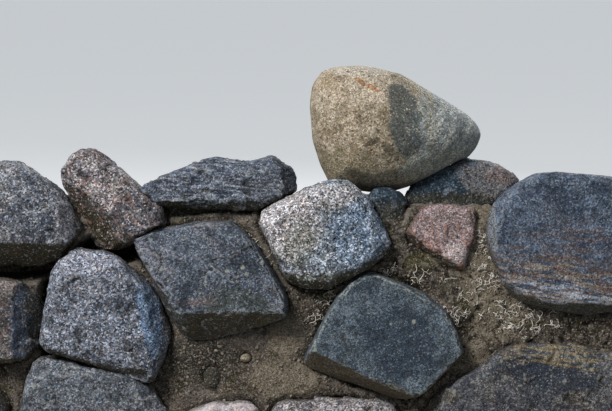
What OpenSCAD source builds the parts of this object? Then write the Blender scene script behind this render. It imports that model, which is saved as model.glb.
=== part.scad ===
// Dry stone wall of field boulders, two faces of stones packed with earth, with a loose boulder
// perched on its cope. Millimetres. X runs along the wall, -Y is the front face, Z is up.
// The origin is on the ground at the middle of the wall's foot.

/* [Wall] */
// Length of the stretch
wall_length = 2400; // [2100:50:2800]
// Height of the front face up its slope, from the ground to the cope line
wall_height = 1000; // [850:10:1150]
// Height of the back face up its slope
back_height = 850; // [700:10:950]
// Thickness at the ground
base_width = 900; // [860:10:1050]
// Thickness at the height of the front cope
top_width = 640; // [620:10:760]

/* [Stones] */
// How far a stone of the front face reaches into the wall
front_tail = 270; // [230:5:290]
// How far a stone of the back face reaches into the wall
back_tail = 250; // [210:5:270]
// How far a stone of an end reaches into the wall
end_tail = 230; // [180:5:280]
// How far the stones laid by eye bulge in front of their joints
stone_bulge = 60; // [40:5:100]
// Width of the joint left between two stones laid by eye
joint = 8; // [4:1:16]

/* [Earth packing] */
// How far the packed earth lies behind the face line
earth_recess = 45; // [40:5:85]
// How far the earth's crest lies under the cope line, at the front
crest_drop = 110; // [80:5:150]
// How deep the open joints run that the earth has washed out of
open_joint_depth = 165; // [120:5:200]
// Diameter of the larger pebble in the earth
pebble_d = 30; // [20:1:40]

/* [Perched boulder] */
// Length of the boulder along the wall
boulder_length = 442; // [400:2:480]
// Height of the boulder
boulder_height = 326; // [300:2:360]
// Thickness of the boulder from front to back
boulder_depth = 310; // [270:5:350]
// How far the boulder's front stands behind the face line
boulder_set_back = 5; // [0:1:30]
// How far the boulder has bedded into the stones under it
boulder_bedding = 4; // [2:1:10]

/* [Hidden] */

// The outlines below were taken from a wall of this length and height
survey_length = 2400;
survey_height = 1000;
survey_back_height = 850;

stretch_u = wall_length / survey_length;
stretch_v = wall_height / survey_height;
stretch_back = back_height / survey_back_height;
batter = atan((base_width - top_width) / 2 / wall_height);

// Where the perched boulder's left end and its underside come
seat_u = 8;
seat_v = 926;

ground = 0;
// The lowest stones are drawn this far under the ground and cut off level with it
sole_cut = 60;
// How wide a stone still is at its waist and at its tail, and how far along the waist comes
waist_share = 0.93;
tail_share = 0.62;
waist_at = 0.45;

// Helpers on points

function mix(a, b, t) = a + (b - a) * t;
function scatter(n) = let (x = sin(n * 137.5) * 437.585) x - floor(x);
function middle(outline) = [
    for (k = [0, 1])
        let (along = [for (p = outline) p[k]]) (min(along) + max(along)) / 2
];
function about(outline, share) = let (m = middle(outline)) [for (p = outline) mix(m, p, share)];
function sum_to(list, n) = n <= 0 ? 0 : list[n - 1] + sum_to(list, n - 1);
function every_second(list) = [for (i = [0 : 2 : len(list) - 1]) list[i]];

// Cuts every corner of an outline back along both its sides
function eased(outline, share) = let (n = len(outline)) [
    for (i = [0 : n - 1])
        let (here = outline[i], before = outline[(i + n - 1) % n], after = outline[(i + 1) % n])
            each [mix(here, before, share), mix(here, after, share)]
];

// A point of the front face, given along the wall, into it and up its slope, as a point of the
// wall. Nothing reaches under the ground, so the lowest stones get a flat sole.
function on_front(u, d, v) = [
    u,
    -base_width / 2 + d * cos(batter) + v * sin(batter),
    max(ground, v * cos(batter) - d * sin(batter))
];
function on_back(u, d, v) = let (p = on_front(u, d, v)) [-p[0], -p[1], p[2]];
function on_end(u, d, v, side) = [side * (wall_length / 2 - d), u, max(ground, v)];

// One block of stone: a front facet, a crown that rounds from it to the girth in a few steps and a
// smaller tail, with a waist between them if it has one. The facet and the girth are outlines seen
// from the front. A waisted stone needs only half the corners behind its girth, where the earth
// holds it.
function block_rings(girth, facet, front, crown, steps, tail, lean, waisted = true) = [
    for (k = [0 : steps])
        let (turn = 90 * k / steps, out = steps == 1 ? k : sin(turn), back = steps == 1 ? k : 1 - cos(turn))
            for (f = facet)
                for (g = k == 0 ? [f] : girth)
                    let (p = mix(f, g, out), tilt = (1 - out) * lean * (p - middle(facet)))
                        [p[0], front + crown * back + tilt, p[1]],
    for (p = waisted ? every_second(about(girth, waist_share)) : [])
        [p[0], mix(front + crown, tail, waist_at), p[1]],
    for (p = waisted ? every_second(about(girth, tail_share)) : about(girth, tail_share))
        [p[0], tail, p[1]],
];

// A water-worn stone: one outline drawn in to its heart from the middle to the front and the back,
// as a section through a rounded cobble is
fullness = 2.3;
blunt = 0.12;
function worn_rings(outline, heart, front, depth, slices) = [
    for (k = [0 : slices])
        let (
            across = cos(180 * k / slices),
            share = max(blunt, pow(1 - pow(abs(across), fullness), 1 / fullness))
        )
            for (p = outline)
                let (q = mix(heart, p, share)) [q[0], front + depth * (1 - across) / 2, q[1]]
];

// A surveyed block, stretched with the wall it belongs to
function surveyed(girth, facet, front, crown, steps, tail = front_tail, lean = [0, 0]) = [
    for (p = block_rings(girth, facet, front, crown, steps, tail, lean))
        on_front(p[0] * stretch_u, p[1], p[2] * stretch_v)
];

// A block that the convex hull of its points makes solid
module block(points) {
    hull() polyhedron(points = points, faces = [[for (i = [0 : len(points) - 1]) i]]);
}

module stone(blocks) {
    for (points = blocks) block(points);
}

// Surveyed stones of the front face, each a list of blocks

left_cope_boulder = [
    surveyed(
        girth = [[-915, 890], [-885, 955], [-825, 990], [-768, 1003], [-722, 1000], [-692, 986],
            [-640, 945], [-612, 925], [-594, 895], [-560, 838], [-572, 815], [-610, 785],
            [-625, 752], [-660, 740], [-765, 735], [-860, 738], [-920, 815]],
        facet = [[-865, 925], [-815, 962], [-765, 978], [-722, 972], [-690, 955], [-645, 920],
            [-615, 885], [-602, 853], [-604, 812], [-635, 798], [-695, 802], [-765, 788],
            [-845, 790], [-880, 840]],
        front = -32, crown = 95, steps = 2),
];

leaning_cope_stone = [
    surveyed(
        girth = [[-622, 978], [-602, 1006], [-590, 1022], [-565, 1036], [-536, 1031], [-500, 1006],
            [-462, 978], [-392, 912], [-362, 885], [-350, 842], [-398, 810], [-440, 792],
            [-465, 778], [-515, 776], [-537, 786], [-558, 833], [-592, 895], [-618, 948]],
        facet = [[-616, 975], [-590, 1010], [-563, 1024], [-538, 1020], [-502, 994], [-458, 962],
            [-394, 900], [-370, 874], [-362, 844], [-400, 824], [-462, 802], [-470, 818],
            [-513, 866], [-583, 912], [-614, 952]],
        front = -12, crown = 62, steps = 1, lean = [-0.1, 0.18]),
];

banded_cope_slab = [
    surveyed(
        girth = [[-432, 928], [-395, 948], [-345, 972], [-290, 993], [-232, 1012], [-195, 1010],
            [-110, 985], [-100, 920], [-125, 872], [-235, 892], [-262, 896], [-315, 886],
            [-378, 886]],
        facet = [[-408, 926], [-345, 958], [-285, 976], [-232, 994], [-150, 972], [-120, 890],
            [-235, 900], [-262, 904], [-315, 894], [-368, 894]],
        front = 10, crown = 45, steps = 2, lean = [0, 0.15]),
    surveyed(
        girth = [[-190, 995], [-118, 1004], [-92, 1014], [-74, 1014], [-62, 998], [-38, 984],
            [-26, 960], [-24, 922], [-52, 908], [-95, 893], [-128, 872]],
        facet = [[-165, 975], [-112, 988], [-84, 996], [-68, 976], [-52, 952], [-60, 915],
            [-125, 885]],
        front = 12, crown = 65, steps = 2),
    surveyed(
        girth = [[-370, 900], [-122, 885], [-120, 845], [-165, 838], [-355, 832]],
        facet = [[-350, 890], [-140, 880], [-138, 858], [-340, 848]],
        front = 62, crown = 25, steps = 1),
];

round_grey_boulder = [
    surveyed(
        girth = [[-122, 848], [-112, 875], [-80, 896], [-15, 922], [35, 948], [72, 956],
            [105, 952], [135, 932], [160, 905], [188, 860], [204, 820], [216, 783], [178, 755],
            [162, 730], [112, 706], [62, 680], [0, 677], [-50, 695], [-62, 740], [-92, 785]],
        facet = [[-78, 840], [-45, 866], [0, 885], [55, 915], [100, 905], [140, 860], [180, 790],
            [158, 768], [105, 738], [55, 715], [5, 712], [-25, 730], [-40, 775]],
        front = -42, crown = 74, steps = 3),
];

rear_cope_stone = [
    surveyed(
        girth = [[250, 890], [255, 915], [268, 940], [330, 970], [366, 996], [392, 1007], [418, 1010],
            [455, 1001], [500, 994], [528, 976], [546, 954], [520, 900], [440, 872], [310, 872]],
        facet = [[275, 905], [300, 932], [345, 950], [400, 984], [480, 975], [520, 952],
            [440, 890], [310, 885]],
        front = 90, crown = 45, steps = 2, tail = 330),
];

rear_wedge_stone = [
    surveyed(
        girth = [[150, 908], [168, 930], [214, 936], [240, 920], [255, 900], [248, 850],
            [210, 812], [170, 820]],
        facet = [[168, 900], [182, 920], [215, 924], [242, 896], [226, 850], [190, 835]],
        front = 42, crown = 30, steps = 2, tail = 240),
];

pink_granite_stone = [
    surveyed(
        girth = [[250, 820], [265, 850], [285, 880], [308, 893], [348, 898], [425, 886],
            [433, 862], [433, 810], [412, 782], [396, 722], [376, 728], [337, 758], [285, 785],
            [254, 802]],
        facet = [[262, 822], [296, 868], [318, 882], [348, 886], [414, 874], [421, 850],
            [419, 812], [398, 783], [387, 740], [338, 772], [288, 795]],
        front = 4, crown = 30, steps = 1, tail = 140, lean = [0, 0.08]),
];

big_dark_slab = [
    surveyed(
        girth = [[450, 812], [455, 858], [468, 892], [492, 922], [535, 950], [572, 970],
            [628, 975], [710, 960], [798, 960], [872, 928], [915, 865], [928, 778], [898, 678],
            [835, 632], [765, 622], [698, 614], [635, 623], [535, 646], [492, 690], [462, 772]],
        facet = [[474, 812], [480, 855], [492, 885], [515, 912], [548, 934], [580, 952],
            [628, 958], [710, 944], [795, 944], [855, 912], [890, 858], [900, 778], [872, 690],
            [825, 650], [765, 640], [700, 634], [635, 641], [548, 664], [512, 702], [485, 772]],
        front = -22, crown = 48, steps = 2, lean = [0, 0.04]),
];

undercut_dark_block = [
    surveyed(
        girth = [[-438, 806], [-390, 826], [-368, 836], [-315, 836], [-258, 851], [-185, 852],
            [-158, 830], [-125, 795], [-73, 715], [-46, 666], [-42, 635], [-48, 606], [-133, 578],
            [-218, 562], [-245, 550], [-292, 550], [-342, 612], [-390, 698]],
        facet = [[-430, 803], [-390, 818], [-312, 829], [-256, 843], [-190, 843], [-166, 828],
            [-131, 788], [-82, 710], [-56, 664], [-50, 638], [-53, 612], [-133, 623], [-200, 627],
            [-262, 616], [-298, 611], [-322, 634], [-383, 716]],
        front = -45, crown = 72, steps = 1, lean = [0, 0.06]),
];

grey_granite_block = [
    surveyed(
        girth = [[-640, 728], [-617, 762], [-585, 780], [-552, 784], [-502, 775], [-470, 762],
            [-438, 730], [-390, 692], [-368, 660], [-356, 615], [-340, 590], [-341, 548],
            [-365, 488], [-380, 450], [-397, 441], [-440, 468], [-525, 504], [-652, 522],
            [-671, 546], [-660, 628], [-645, 673]],
        facet = [[-607, 702], [-590, 738], [-550, 748], [-492, 738], [-445, 700], [-402, 652],
            [-382, 590], [-378, 545], [-398, 478], [-412, 470], [-450, 490], [-530, 524],
            [-636, 540], [-645, 560], [-630, 640]],
        front = -36, crown = 72, steps = 3),
];

left_low_boulder = [
    surveyed(
        girth = [[-940, 602], [-920, 665], [-852, 698], [-765, 708], [-718, 700], [-685, 678],
            [-665, 640], [-662, 590], [-672, 540], [-700, 505], [-740, 490], [-815, 490],
            [-902, 522]],
        facet = [[-890, 628], [-840, 668], [-765, 686], [-720, 690], [-728, 648], [-745, 603],
            [-743, 550], [-735, 505], [-815, 512], [-878, 552]],
        front = -20, crown = 85, steps = 2),
];

diamond_slab = [
    surveyed(
        girth = [[-4, 512], [14, 538], [50, 617], [76, 662], [104, 695], [135, 717], [156, 725],
            [182, 720], [240, 694], [300, 670], [354, 625], [381, 575], [399, 520], [366, 487],
            [316, 450], [294, 420], [262, 403], [224, 402], [130, 440], [48, 474], [10, 480],
            [-6, 495]],
        facet = [[12, 532], [52, 615], [81, 660], [109, 690], [140, 711], [180, 712], [296, 662],
            [349, 619], [375, 572], [389, 522], [345, 478], [310, 452], [297, 428], [275, 414],
            [185, 449], [75, 506], [45, 522]],
        front = -34, crown = 58, steps = 1, lean = [0.03, 0.12]),
];

lower_left_block = [
    surveyed(
        girth = [[-724, 375], [-715, 415], [-700, 465], [-686, 496], [-668, 512], [-648, 511],
            [-600, 492], [-462, 474], [-430, 462], [-395, 437], [-345, 378], [-325, 315],
            [-352, 240], [-440, 202], [-615, 198], [-710, 232], [-738, 302]],
        facet = [[-698, 385], [-688, 440], [-668, 486], [-650, 492], [-600, 474], [-465, 456],
            [-410, 425], [-370, 372], [-355, 305], [-415, 232], [-665, 228], [-712, 290]],
        front = -26, crown = 62, steps = 2),
];

lower_left_boulder = [
    surveyed(
        girth = [[-965, 352], [-928, 415], [-840, 440], [-770, 430], [-740, 395], [-744, 328],
            [-755, 248], [-878, 206], [-958, 258]],
        facet = [[-900, 350], [-860, 390], [-800, 385], [-785, 330], [-800, 270], [-870, 260]],
        front = -20, crown = 95, steps = 3),
];

low_pale_stone = [
    surveyed(
        girth = [[-320, 340], [-290, 378], [-228, 395], [-140, 398], [-112, 372], [-102, 290],
            [-130, 208], [-278, 200], [-318, 265]],
        facet = [[-295, 335], [-225, 378], [-145, 380], [-125, 290], [-150, 230], [-270, 225]],
        front = -6, crown = 42, steps = 2),
];

low_granite_stone = [
    surveyed(
        girth = [[-98, 340], [-80, 384], [-50, 400], [60, 406], [172, 403], [225, 392], [262, 328],
            [250, 248], [160, 190], [-40, 194], [-96, 252]],
        facet = [[-70, 335], [-50, 374], [60, 386], [165, 382], [220, 325], [205, 260], [150, 220],
            [-30, 222]],
        front = -16, crown = 48, steps = 2),
];

low_right_boulder = [
    surveyed(
        girth = [[275, 315], [298, 375], [320, 415], [362, 440], [422, 468], [468, 504],
            [492, 528], [515, 540], [600, 545], [640, 548], [765, 524], [860, 465], [915, 372],
            [915, 282], [835, 208], [635, 182], [410, 192], [300, 242]],
        facet = [[325, 330], [345, 398], [425, 445], [475, 487], [505, 514], [525, 524],
            [640, 532], [755, 510], [835, 450], [880, 368], [872, 290], [810, 235], [640, 212],
            [420, 222], [335, 262]],
        front = -34, crown = 70, steps = 2, lean = [0, 0.05]),
];

buried_cobble = [
    surveyed(
        girth = [[-265, 472], [-250, 490], [-225, 490], [-208, 458], [-228, 420], [-258, 430]],
        facet = [[-250, 465], [-240, 478], [-225, 470], [-222, 450], [-235, 435], [-250, 445]],
        front = 38, crown = 30, steps = 2, tail = 120),
];

// Stones past the surveyed stretch, on the same face

left_run_stones = [
    [surveyed(
        girth = [[-1180, 760], [-1185, 880], [-1150, 955], [-1070, 985], [-975, 965], [-925, 900],
            [-928, 800], [-965, 745], [-1100, 735]],
        facet = [[-1140, 785], [-1140, 875], [-1070, 930], [-985, 915], [-965, 860], [-975, 790],
            [-1090, 770]],
        front = -15, crown = 90, steps = 3)],
    [surveyed(
        girth = [[-1190, 500], [-1195, 620], [-1165, 700], [-1080, 725], [-985, 705], [-945, 640],
            [-948, 560], [-985, 480], [-1120, 470]],
        facet = [[-1150, 520], [-1150, 630], [-1080, 680], [-1000, 660], [-980, 570], [-1010, 520]],
        front = -18, crown = 80, steps = 2)],
    [surveyed(
        girth = [[-1195, 215], [-1198, 350], [-1165, 430], [-1080, 458], [-1000, 440], [-968, 380],
            [-972, 260], [-1020, 205], [-1150, 202]],
        facet = [[-1155, 240], [-1155, 350], [-1080, 410], [-1010, 370], [-1010, 260]],
        front = -10, crown = 80, steps = 3)],
];

right_run_stones = [
    [surveyed(
        girth = [[935, 760], [938, 880], [975, 940], [1060, 968], [1140, 940], [1180, 870],
            [1172, 750], [1120, 712], [990, 705]],
        facet = [[975, 770], [975, 865], [1060, 920], [1130, 880], [1140, 780], [1080, 745],
            [1000, 745]],
        front = -12, crown = 80, steps = 2)],
    [surveyed(
        girth = [[918, 560], [925, 650], [975, 692], [1100, 700], [1175, 660], [1190, 560],
            [1165, 470], [1050, 448], [950, 470]],
        facet = [[960, 560], [970, 630], [1090, 655], [1145, 560], [1120, 500], [1000, 500]],
        front = -22, crown = 95, steps = 3)],
    [surveyed(
        girth = [[922, 260], [925, 350], [965, 425], [1060, 440], [1160, 415], [1195, 330],
            [1192, 225], [1100, 200], [980, 202]],
        facet = [[965, 260], [965, 345], [1060, 395], [1150, 330], [1150, 250], [1060, 235]],
        front = -15, crown = 75, steps = 2)],
];

// Courses laid by eye, each a list of stone widths that fills the survey's length

foundation_widths = [340, 350, 400, 330, 370, 330, 280];
back_widths = [
    [390, 330, 310, 380, 300, 360, 330],
    [230, 350, 340, 290, 370, 310, 340, 170],
    [360, 280, 330, 340, 270, 330, 300, 190],
    [250, 340, 300, 380, 320, 350, 240, 220],
];
back_beds = [-sole_cut, 215, 430, 640, 850];
foundation_beds = [-sole_cut, 195];
bed_sway = 20;
bed_swing = 0.5;
joint_slant = 56;
girth_depth = 34;
shortfall = 26;
corner_ease = 0.27;
facet_share = 0.6;
bulge_spread = 0.45;
facet_lean = 0.3;

// Height of a bed joint at a point along the course
function bed(beds, course, u) =
    beds[course] + (course == 0 ? 0 : bed_sway * sin(u * bed_swing + 110 * course));

// How far the upright joint before stone number i of a course leans, none at the two ends
function slant(widths, course, i) =
    i == 0 || i == len(widths) ? 0 : joint_slant * (scatter(5 * i + 3 * course + len(widths)) - 0.5);

// The girth of stone number i of a course
function cell(widths, beds, course, i) = let (
    u0 = sum_to(widths, i) - survey_length / 2 + joint / 2,
    u1 = sum_to(widths, i + 1) - survey_length / 2 - joint / 2,
    s0 = slant(widths, course, i),
    s1 = slant(widths, course, i + 1),
    um = mix(u0, u1, 0.3 + 0.4 * scatter(i + 7 * course)),
    short = shortfall * scatter(3 * i + 11 * course)
) eased([
    [u0 + s0, bed(beds, course, u0) + joint / 2],
    [u1 + s1, bed(beds, course, u1) + joint / 2],
    [u1 - s1, bed(beds, course + 1, u1) - joint / 2 - short],
    [um, bed(beds, course + 1, um) - joint / 2],
    [u0 - s0, bed(beds, course + 1, u0) - joint / 2 - shortfall + short],
], corner_ease);

function laid_rings(widths, beds, course, i, tail, seed) = let (
    girth = cell(widths, beds, course, i),
    bulge = stone_bulge * mix(1 - bulge_spread, 1 + bulge_spread, scatter(seed + i))
) block_rings(girth, about(girth, facet_share), girth_depth - bulge, bulge, 2, tail,
    [facet_lean * (scatter(seed + 5 * i) - 0.5), facet_lean * (scatter(seed + 9 * i) - 0.5)], false);

front_foundation_stones = [
    for (i = [0 : len(foundation_widths) - 1])
        [[for (p = laid_rings(foundation_widths, foundation_beds, 0, i, front_tail, 40))
            on_front(p[0] * stretch_u, p[1], p[2] * stretch_v)]]
];

back_courses = [
    for (course = [0 : len(back_widths) - 1]) [
        for (i = [0 : len(back_widths[course]) - 1])
            [[for (p = laid_rings(back_widths[course], back_beds, course, i, back_tail, 60 + 10 * course))
                on_back(p[0] * stretch_u, p[1], p[2] * stretch_back)]]
    ]
];

// Stones that close an end of the wall between the tails of the two faces
end_beds = [-sole_cut, 230, 460, 665, 800];
end_share = 0.72;
end_slack = 12;
end_sway = 14;
end_peak = 6;
function face_y(v) = base_width / 2 - v * tan(batter);
function end_stones(side) = [
    for (course = [0 : len(end_beds) - 2])
        let (
            v0 = end_beds[course] * stretch_back + joint / 2,
            v1 = end_beds[course + 1] * stretch_back - joint / 2,
            reach = end_share * (face_y(v1) - back_tail) + end_slack,
            off = (front_tail - back_tail) / 2 + end_sway * (scatter(course + 3 * side) - 0.5),
            left = off - reach,
            right = off + reach,
            corners = [[left, v0], [right, v0], [right, v1], [off, v1 + end_peak], [left, v1]],
            girth = eased(corners, corner_ease),
            rings = block_rings(girth, about(girth, facet_share), 0, stone_bulge, 2, end_tail, [0, 0], false)
        ) [[for (p = rings) on_end(p[0], p[1], p[2], side)]]
];

left_end_stones = end_stones(-1);
right_end_stones = end_stones(1);

// Cobbles half sunk in the crest, clear of the tails of the front cope
crest_places = [-980, -560, -230, 640, 960];
cobble_half_width = [62, 92];
cobble_half_height = [40, 54];
cobble_thickness = 1.7;
cobble_slices = 5;
cobble_sunk = 22;
cobble_gap = 18;
cobble_v = (wall_height - crest_drop) / stretch_v - cobble_sunk;
crest_cobbles = [
    for (i = [0 : len(crest_places) - 1])
        let (
            u = crest_places[i],
            w = mix(cobble_half_width[0], cobble_half_width[1], scatter(i + 2)),
            h = mix(cobble_half_height[0], cobble_half_height[1], scatter(i + 5)),
            corners = [[-w, -h], [w, -h], [w, 0.4 * h], [0, h], [-w, 0.5 * h]],
            outline = eased([for (p = corners) [u, cobble_v] + p], corner_ease),
            rings = worn_rings(outline, middle(outline), front_tail + cobble_gap,
                cobble_thickness * w, cobble_slices)
        ) [[for (p = rings) on_front(p[0] * stretch_u, p[1], p[2] * stretch_v)]]
];

// Each pebble's place and its size as a share of the larger one's. It stands half out of the earth.
pebble_places = [[-152, 505, 1], [405, 566, 0.6]];
pebble_out = 0.45;
pebble_slices = 4;
earth_pebbles = [
    for (place = pebble_places)
        let (
            d = pebble_d * place[2],
            heart = [place[0], place[1]],
            outline = [for (a = [0 : 45 : 315]) heart + d / 2 * [cos(a), 0.8 * sin(a)]],
            rings = worn_rings(outline, heart, earth_recess - pebble_out * d, d, pebble_slices)
        ) [[for (p = rings) on_front(p[0] * stretch_u, p[1], p[2] * stretch_v)]]
];

// The perched boulder: its outline as shares of its length and height
boulder_outline = [
    [0, 0.70], [0.016, 0.85], [0.074, 0.953], [0.155, 0.99], [0.294, 1.0], [0.41, 0.978], [0.537, 0.93],
    [0.70, 0.80], [0.815, 0.71], [0.92, 0.615], [0.977, 0.53], [1.0, 0.453], [0.972, 0.353], [0.92, 0.27],
    [0.787, 0.165], [0.64, 0.07], [0.495, 0.01], [0.38, 0], [0.25, 0.015], [0.12, 0.06], [0.06, 0.22],
    [0.016, 0.415],
];
boulder_heart = [0.44, 0.52];
boulder_slices = 9;
perched_boulder = [
    [for (p = worn_rings(boulder_outline, boulder_heart, boulder_set_back, boulder_depth, boulder_slices))
        on_front(seat_u * stretch_u + p[0] * boulder_length, p[1],
            seat_v * stretch_v - boulder_bedding + p[2] * boulder_height)],
];

// Every stone in the order it was laid. A stone is dressed to fit those laid before it.
laid = concat(
    front_foundation_stones, back_courses[0], left_end_stones, right_end_stones,
    [lower_left_block, lower_left_boulder, low_pale_stone, low_granite_stone, low_right_boulder],
    back_courses[1], left_run_stones, right_run_stones,
    [left_low_boulder, grey_granite_block, diamond_slab, buried_cobble],
    back_courses[2],
    [undercut_dark_block, big_dark_slab, round_grey_boulder, pink_granite_stone, left_cope_boulder,
        leaning_cope_stone, banded_cope_slab, rear_cope_stone, rear_wedge_stone],
    back_courses[3], crest_cobbles, [perched_boulder], earth_pebbles
);

function place_of(blocks) = [for (i = [0 : len(laid) - 1]) if (laid[i] == blocks) i][0];

module dressed(blocks) {
    difference() {
        stone(blocks);
        for (i = [0 : 1 : place_of(blocks) - 1]) stone(laid[i]);
    }
}

// Joints that the earth has washed out of, as outlines on the front face
open_joints = [
    [[-900, 735], [-620, 765], [-640, 690], [-700, 712], [-900, 690]],
    [[-668, 690], [-640, 690], [-650, 540], [-690, 515]],
    [[-560, 812], [-470, 790], [-410, 745], [-440, 720], [-560, 790]],
];

module washed_out() {
    for (outline = open_joints)
        block([
            for (d = [0, open_joint_depth])
                for (p = outline) on_front(p[0] * stretch_u, d, p[1] * stretch_v)
        ]);
}

// The earth between the faces, from the ground to a crest that falls to the back
crest_round = 40;
module earth_body() {
    front_foot = -base_width / 2 + earth_recess;
    front_brow = on_front(0, earth_recess, wall_height - crest_drop - crest_round);
    front_crest = on_front(0, earth_recess + crest_round, wall_height - crest_drop);
    back_brow = on_back(0, earth_recess, back_height - crest_round);
    back_crest = on_back(0, earth_recess + crest_round, back_height - crest_round / 2);
    half = wall_length / 2 - earth_recess;
    rotate([90, 0, 90])
        translate([0, 0, -half])
            linear_extrude(2 * half)
                polygon([
                    [front_foot, ground], [-front_foot, ground],
                    for (p = [back_brow, back_crest, front_crest, front_brow]) [p[1], p[2]],
                ]);
}

module earth_core() {
    color("#6b5a49")
        difference() {
            earth_body();
            for (blocks = laid) stone(blocks);
            washed_out();
        }
}

module row(stones, tint) {
    color(tint)
        for (blocks = stones) dressed(blocks);
}

color("#9c9282") dressed(perched_boulder);
color("#77767a") dressed(left_cope_boulder);
color("#86777a") dressed(leaning_cope_stone);
color("#62656e") dressed(banded_cope_slab);
color("#8b8d90") dressed(round_grey_boulder);
color("#5b5f6a") dressed(rear_cope_stone);
color("#5c6065") dressed(rear_wedge_stone);
color("#94746c") dressed(pink_granite_stone);
color("#5b5d66") dressed(big_dark_slab);
color("#5f6369") dressed(undercut_dark_block);
color("#838488") dressed(grey_granite_block);
color("#6f6a6c") dressed(left_low_boulder);
color("#565d63") dressed(diamond_slab);
color("#6e7074") dressed(lower_left_block);
color("#66656b") dressed(lower_left_boulder);
color("#9a928c") dressed(low_pale_stone);
color("#97948f") dressed(low_granite_stone);
color("#6a655f") dressed(low_right_boulder);
color("#7c6f64") dressed(buried_cobble);
row(earth_pebbles, "#8d8371");
row(left_run_stones, "#74747a");
row(right_run_stones, "#777374");
row(front_foundation_stones, "#6d6d70");
row(back_courses[0], "#6d6d70");  // back_foundation_stones
row(back_courses[1], "#77767a");  // back_second_course
row(back_courses[2], "#6f7176");  // back_third_course
row(back_courses[3], "#7d7b7c");  // back_cope_stones
row(left_end_stones, "#726f70");
row(right_end_stones, "#726f70");
row(crest_cobbles, "#76716c");
earth_core();
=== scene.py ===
# %% [markdown]
# # A dry stone wall of field boulders
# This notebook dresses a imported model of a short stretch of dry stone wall. The real wall was laid
# by hand from whatever the field gave: split granite, dark banded gneiss and a few river-worn
# boulders, with earth packed between two faces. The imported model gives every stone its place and
# its main planes. Here each stone gets its weathered skin and its rock, and the earth its crumbs.

import math

import bmesh
import bpy
import numpy as np
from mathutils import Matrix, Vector
from mathutils.bvhtree import BVHTree


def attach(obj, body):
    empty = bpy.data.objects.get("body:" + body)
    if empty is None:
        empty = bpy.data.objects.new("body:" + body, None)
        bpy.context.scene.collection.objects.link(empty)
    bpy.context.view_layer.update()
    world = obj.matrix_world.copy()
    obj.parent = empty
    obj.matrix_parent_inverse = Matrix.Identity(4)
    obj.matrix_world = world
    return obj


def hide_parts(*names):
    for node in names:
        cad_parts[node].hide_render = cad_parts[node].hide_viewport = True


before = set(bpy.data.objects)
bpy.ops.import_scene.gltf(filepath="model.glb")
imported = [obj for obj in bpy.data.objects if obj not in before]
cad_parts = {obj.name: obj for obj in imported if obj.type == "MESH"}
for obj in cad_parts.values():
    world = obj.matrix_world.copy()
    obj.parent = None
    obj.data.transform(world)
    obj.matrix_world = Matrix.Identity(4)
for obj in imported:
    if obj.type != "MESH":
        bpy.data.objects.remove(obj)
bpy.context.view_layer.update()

# %% [markdown]
# ## Where things are
# Lengths are metres. The front face leans back by its batter, so a place on it is easiest to say
# as so far along the wall, so far up the slope and so far into the wall. These few sizes are the
# ones the wall was drawn with.

# %% The wall's own sizes
WALL_LENGTH = 2.400
FOOT_HALF_WIDTH = 0.450
BATTER = math.atan(0.130)
FRONT_HEIGHT = 1.000
BACK_HEIGHT = 0.850
EARTH_RECESS = 0.045
CREST_DROP = 0.110
CREST_ROUND = 0.040


def on_front(along, up, inward=0.0):
    """A point of the front face as a point of the wall."""
    return Vector((
        along,
        -FOOT_HALF_WIDTH + inward * math.cos(BATTER) + up * math.sin(BATTER),
        up * math.cos(BATTER) - inward * math.sin(BATTER),
    ))


def on_back(along, up, inward=0.0):
    """The same for the back face."""
    point = on_front(along, up, inward)
    return Vector((-point.x, -point.y, point.z))


print("the faces lean back by", round(math.degrees(BATTER), 1), "degrees")

# %% [markdown]
# ## The photographer's place
# The picture was taken with a long lens from about six metres away, and nearly square to the
# leaning face. So the camera looks along the face's own normal, which keeps the outlines true.

# %% The camera
EYE_DISTANCE = 5.738
VIEW_ALONG = 0.0
VIEW_UP = 0.889
LENS_MM = 135.0

camera = bpy.data.objects.new("camera", bpy.data.cameras.new("camera"))
camera.data.lens = LENS_MM
camera.data.sensor_width = 36.0
camera.location = on_front(VIEW_ALONG, VIEW_UP, -EYE_DISTANCE)
camera.rotation_euler = (math.pi / 2 - BATTER, 0.0, 0.0)
bpy.context.collection.objects.link(camera)
bpy.context.scene.camera = camera
bpy.context.scene.view_settings.view_transform = "Standard"
print("the camera stands at", tuple(round(v, 2) for v in camera.location))

# %% [markdown]
# ## Writing nodes as sums
# A material or a shape made of nodes is easier to read as a formula. A Wire is one socket that can
# be added and multiplied like a number, and a Graph adds any other node in a single call.


# %% Wires and graphs
class Wire:
    """A socket that can be used in sums."""

    def __init__(self, graph, socket):
        self.graph = graph
        self.socket = socket

    def sum(self, operation, *terms):
        return self.graph.add("ShaderNodeMath", {"operation": operation}, dict(enumerate(terms)))

    def __add__(self, other):
        return self.sum("ADD", self, other)

    __radd__ = __add__

    def __sub__(self, other):
        return self.sum("SUBTRACT", self, other)

    def __rsub__(self, other):
        return self.sum("SUBTRACT", other, self)

    def __mul__(self, other):
        return self.sum("MULTIPLY", self, other)

    __rmul__ = __mul__

    def __truediv__(self, other):
        return self.sum("DIVIDE", self, other)

    def most(self, other):
        return self.sum("MAXIMUM", self, other)


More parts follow.
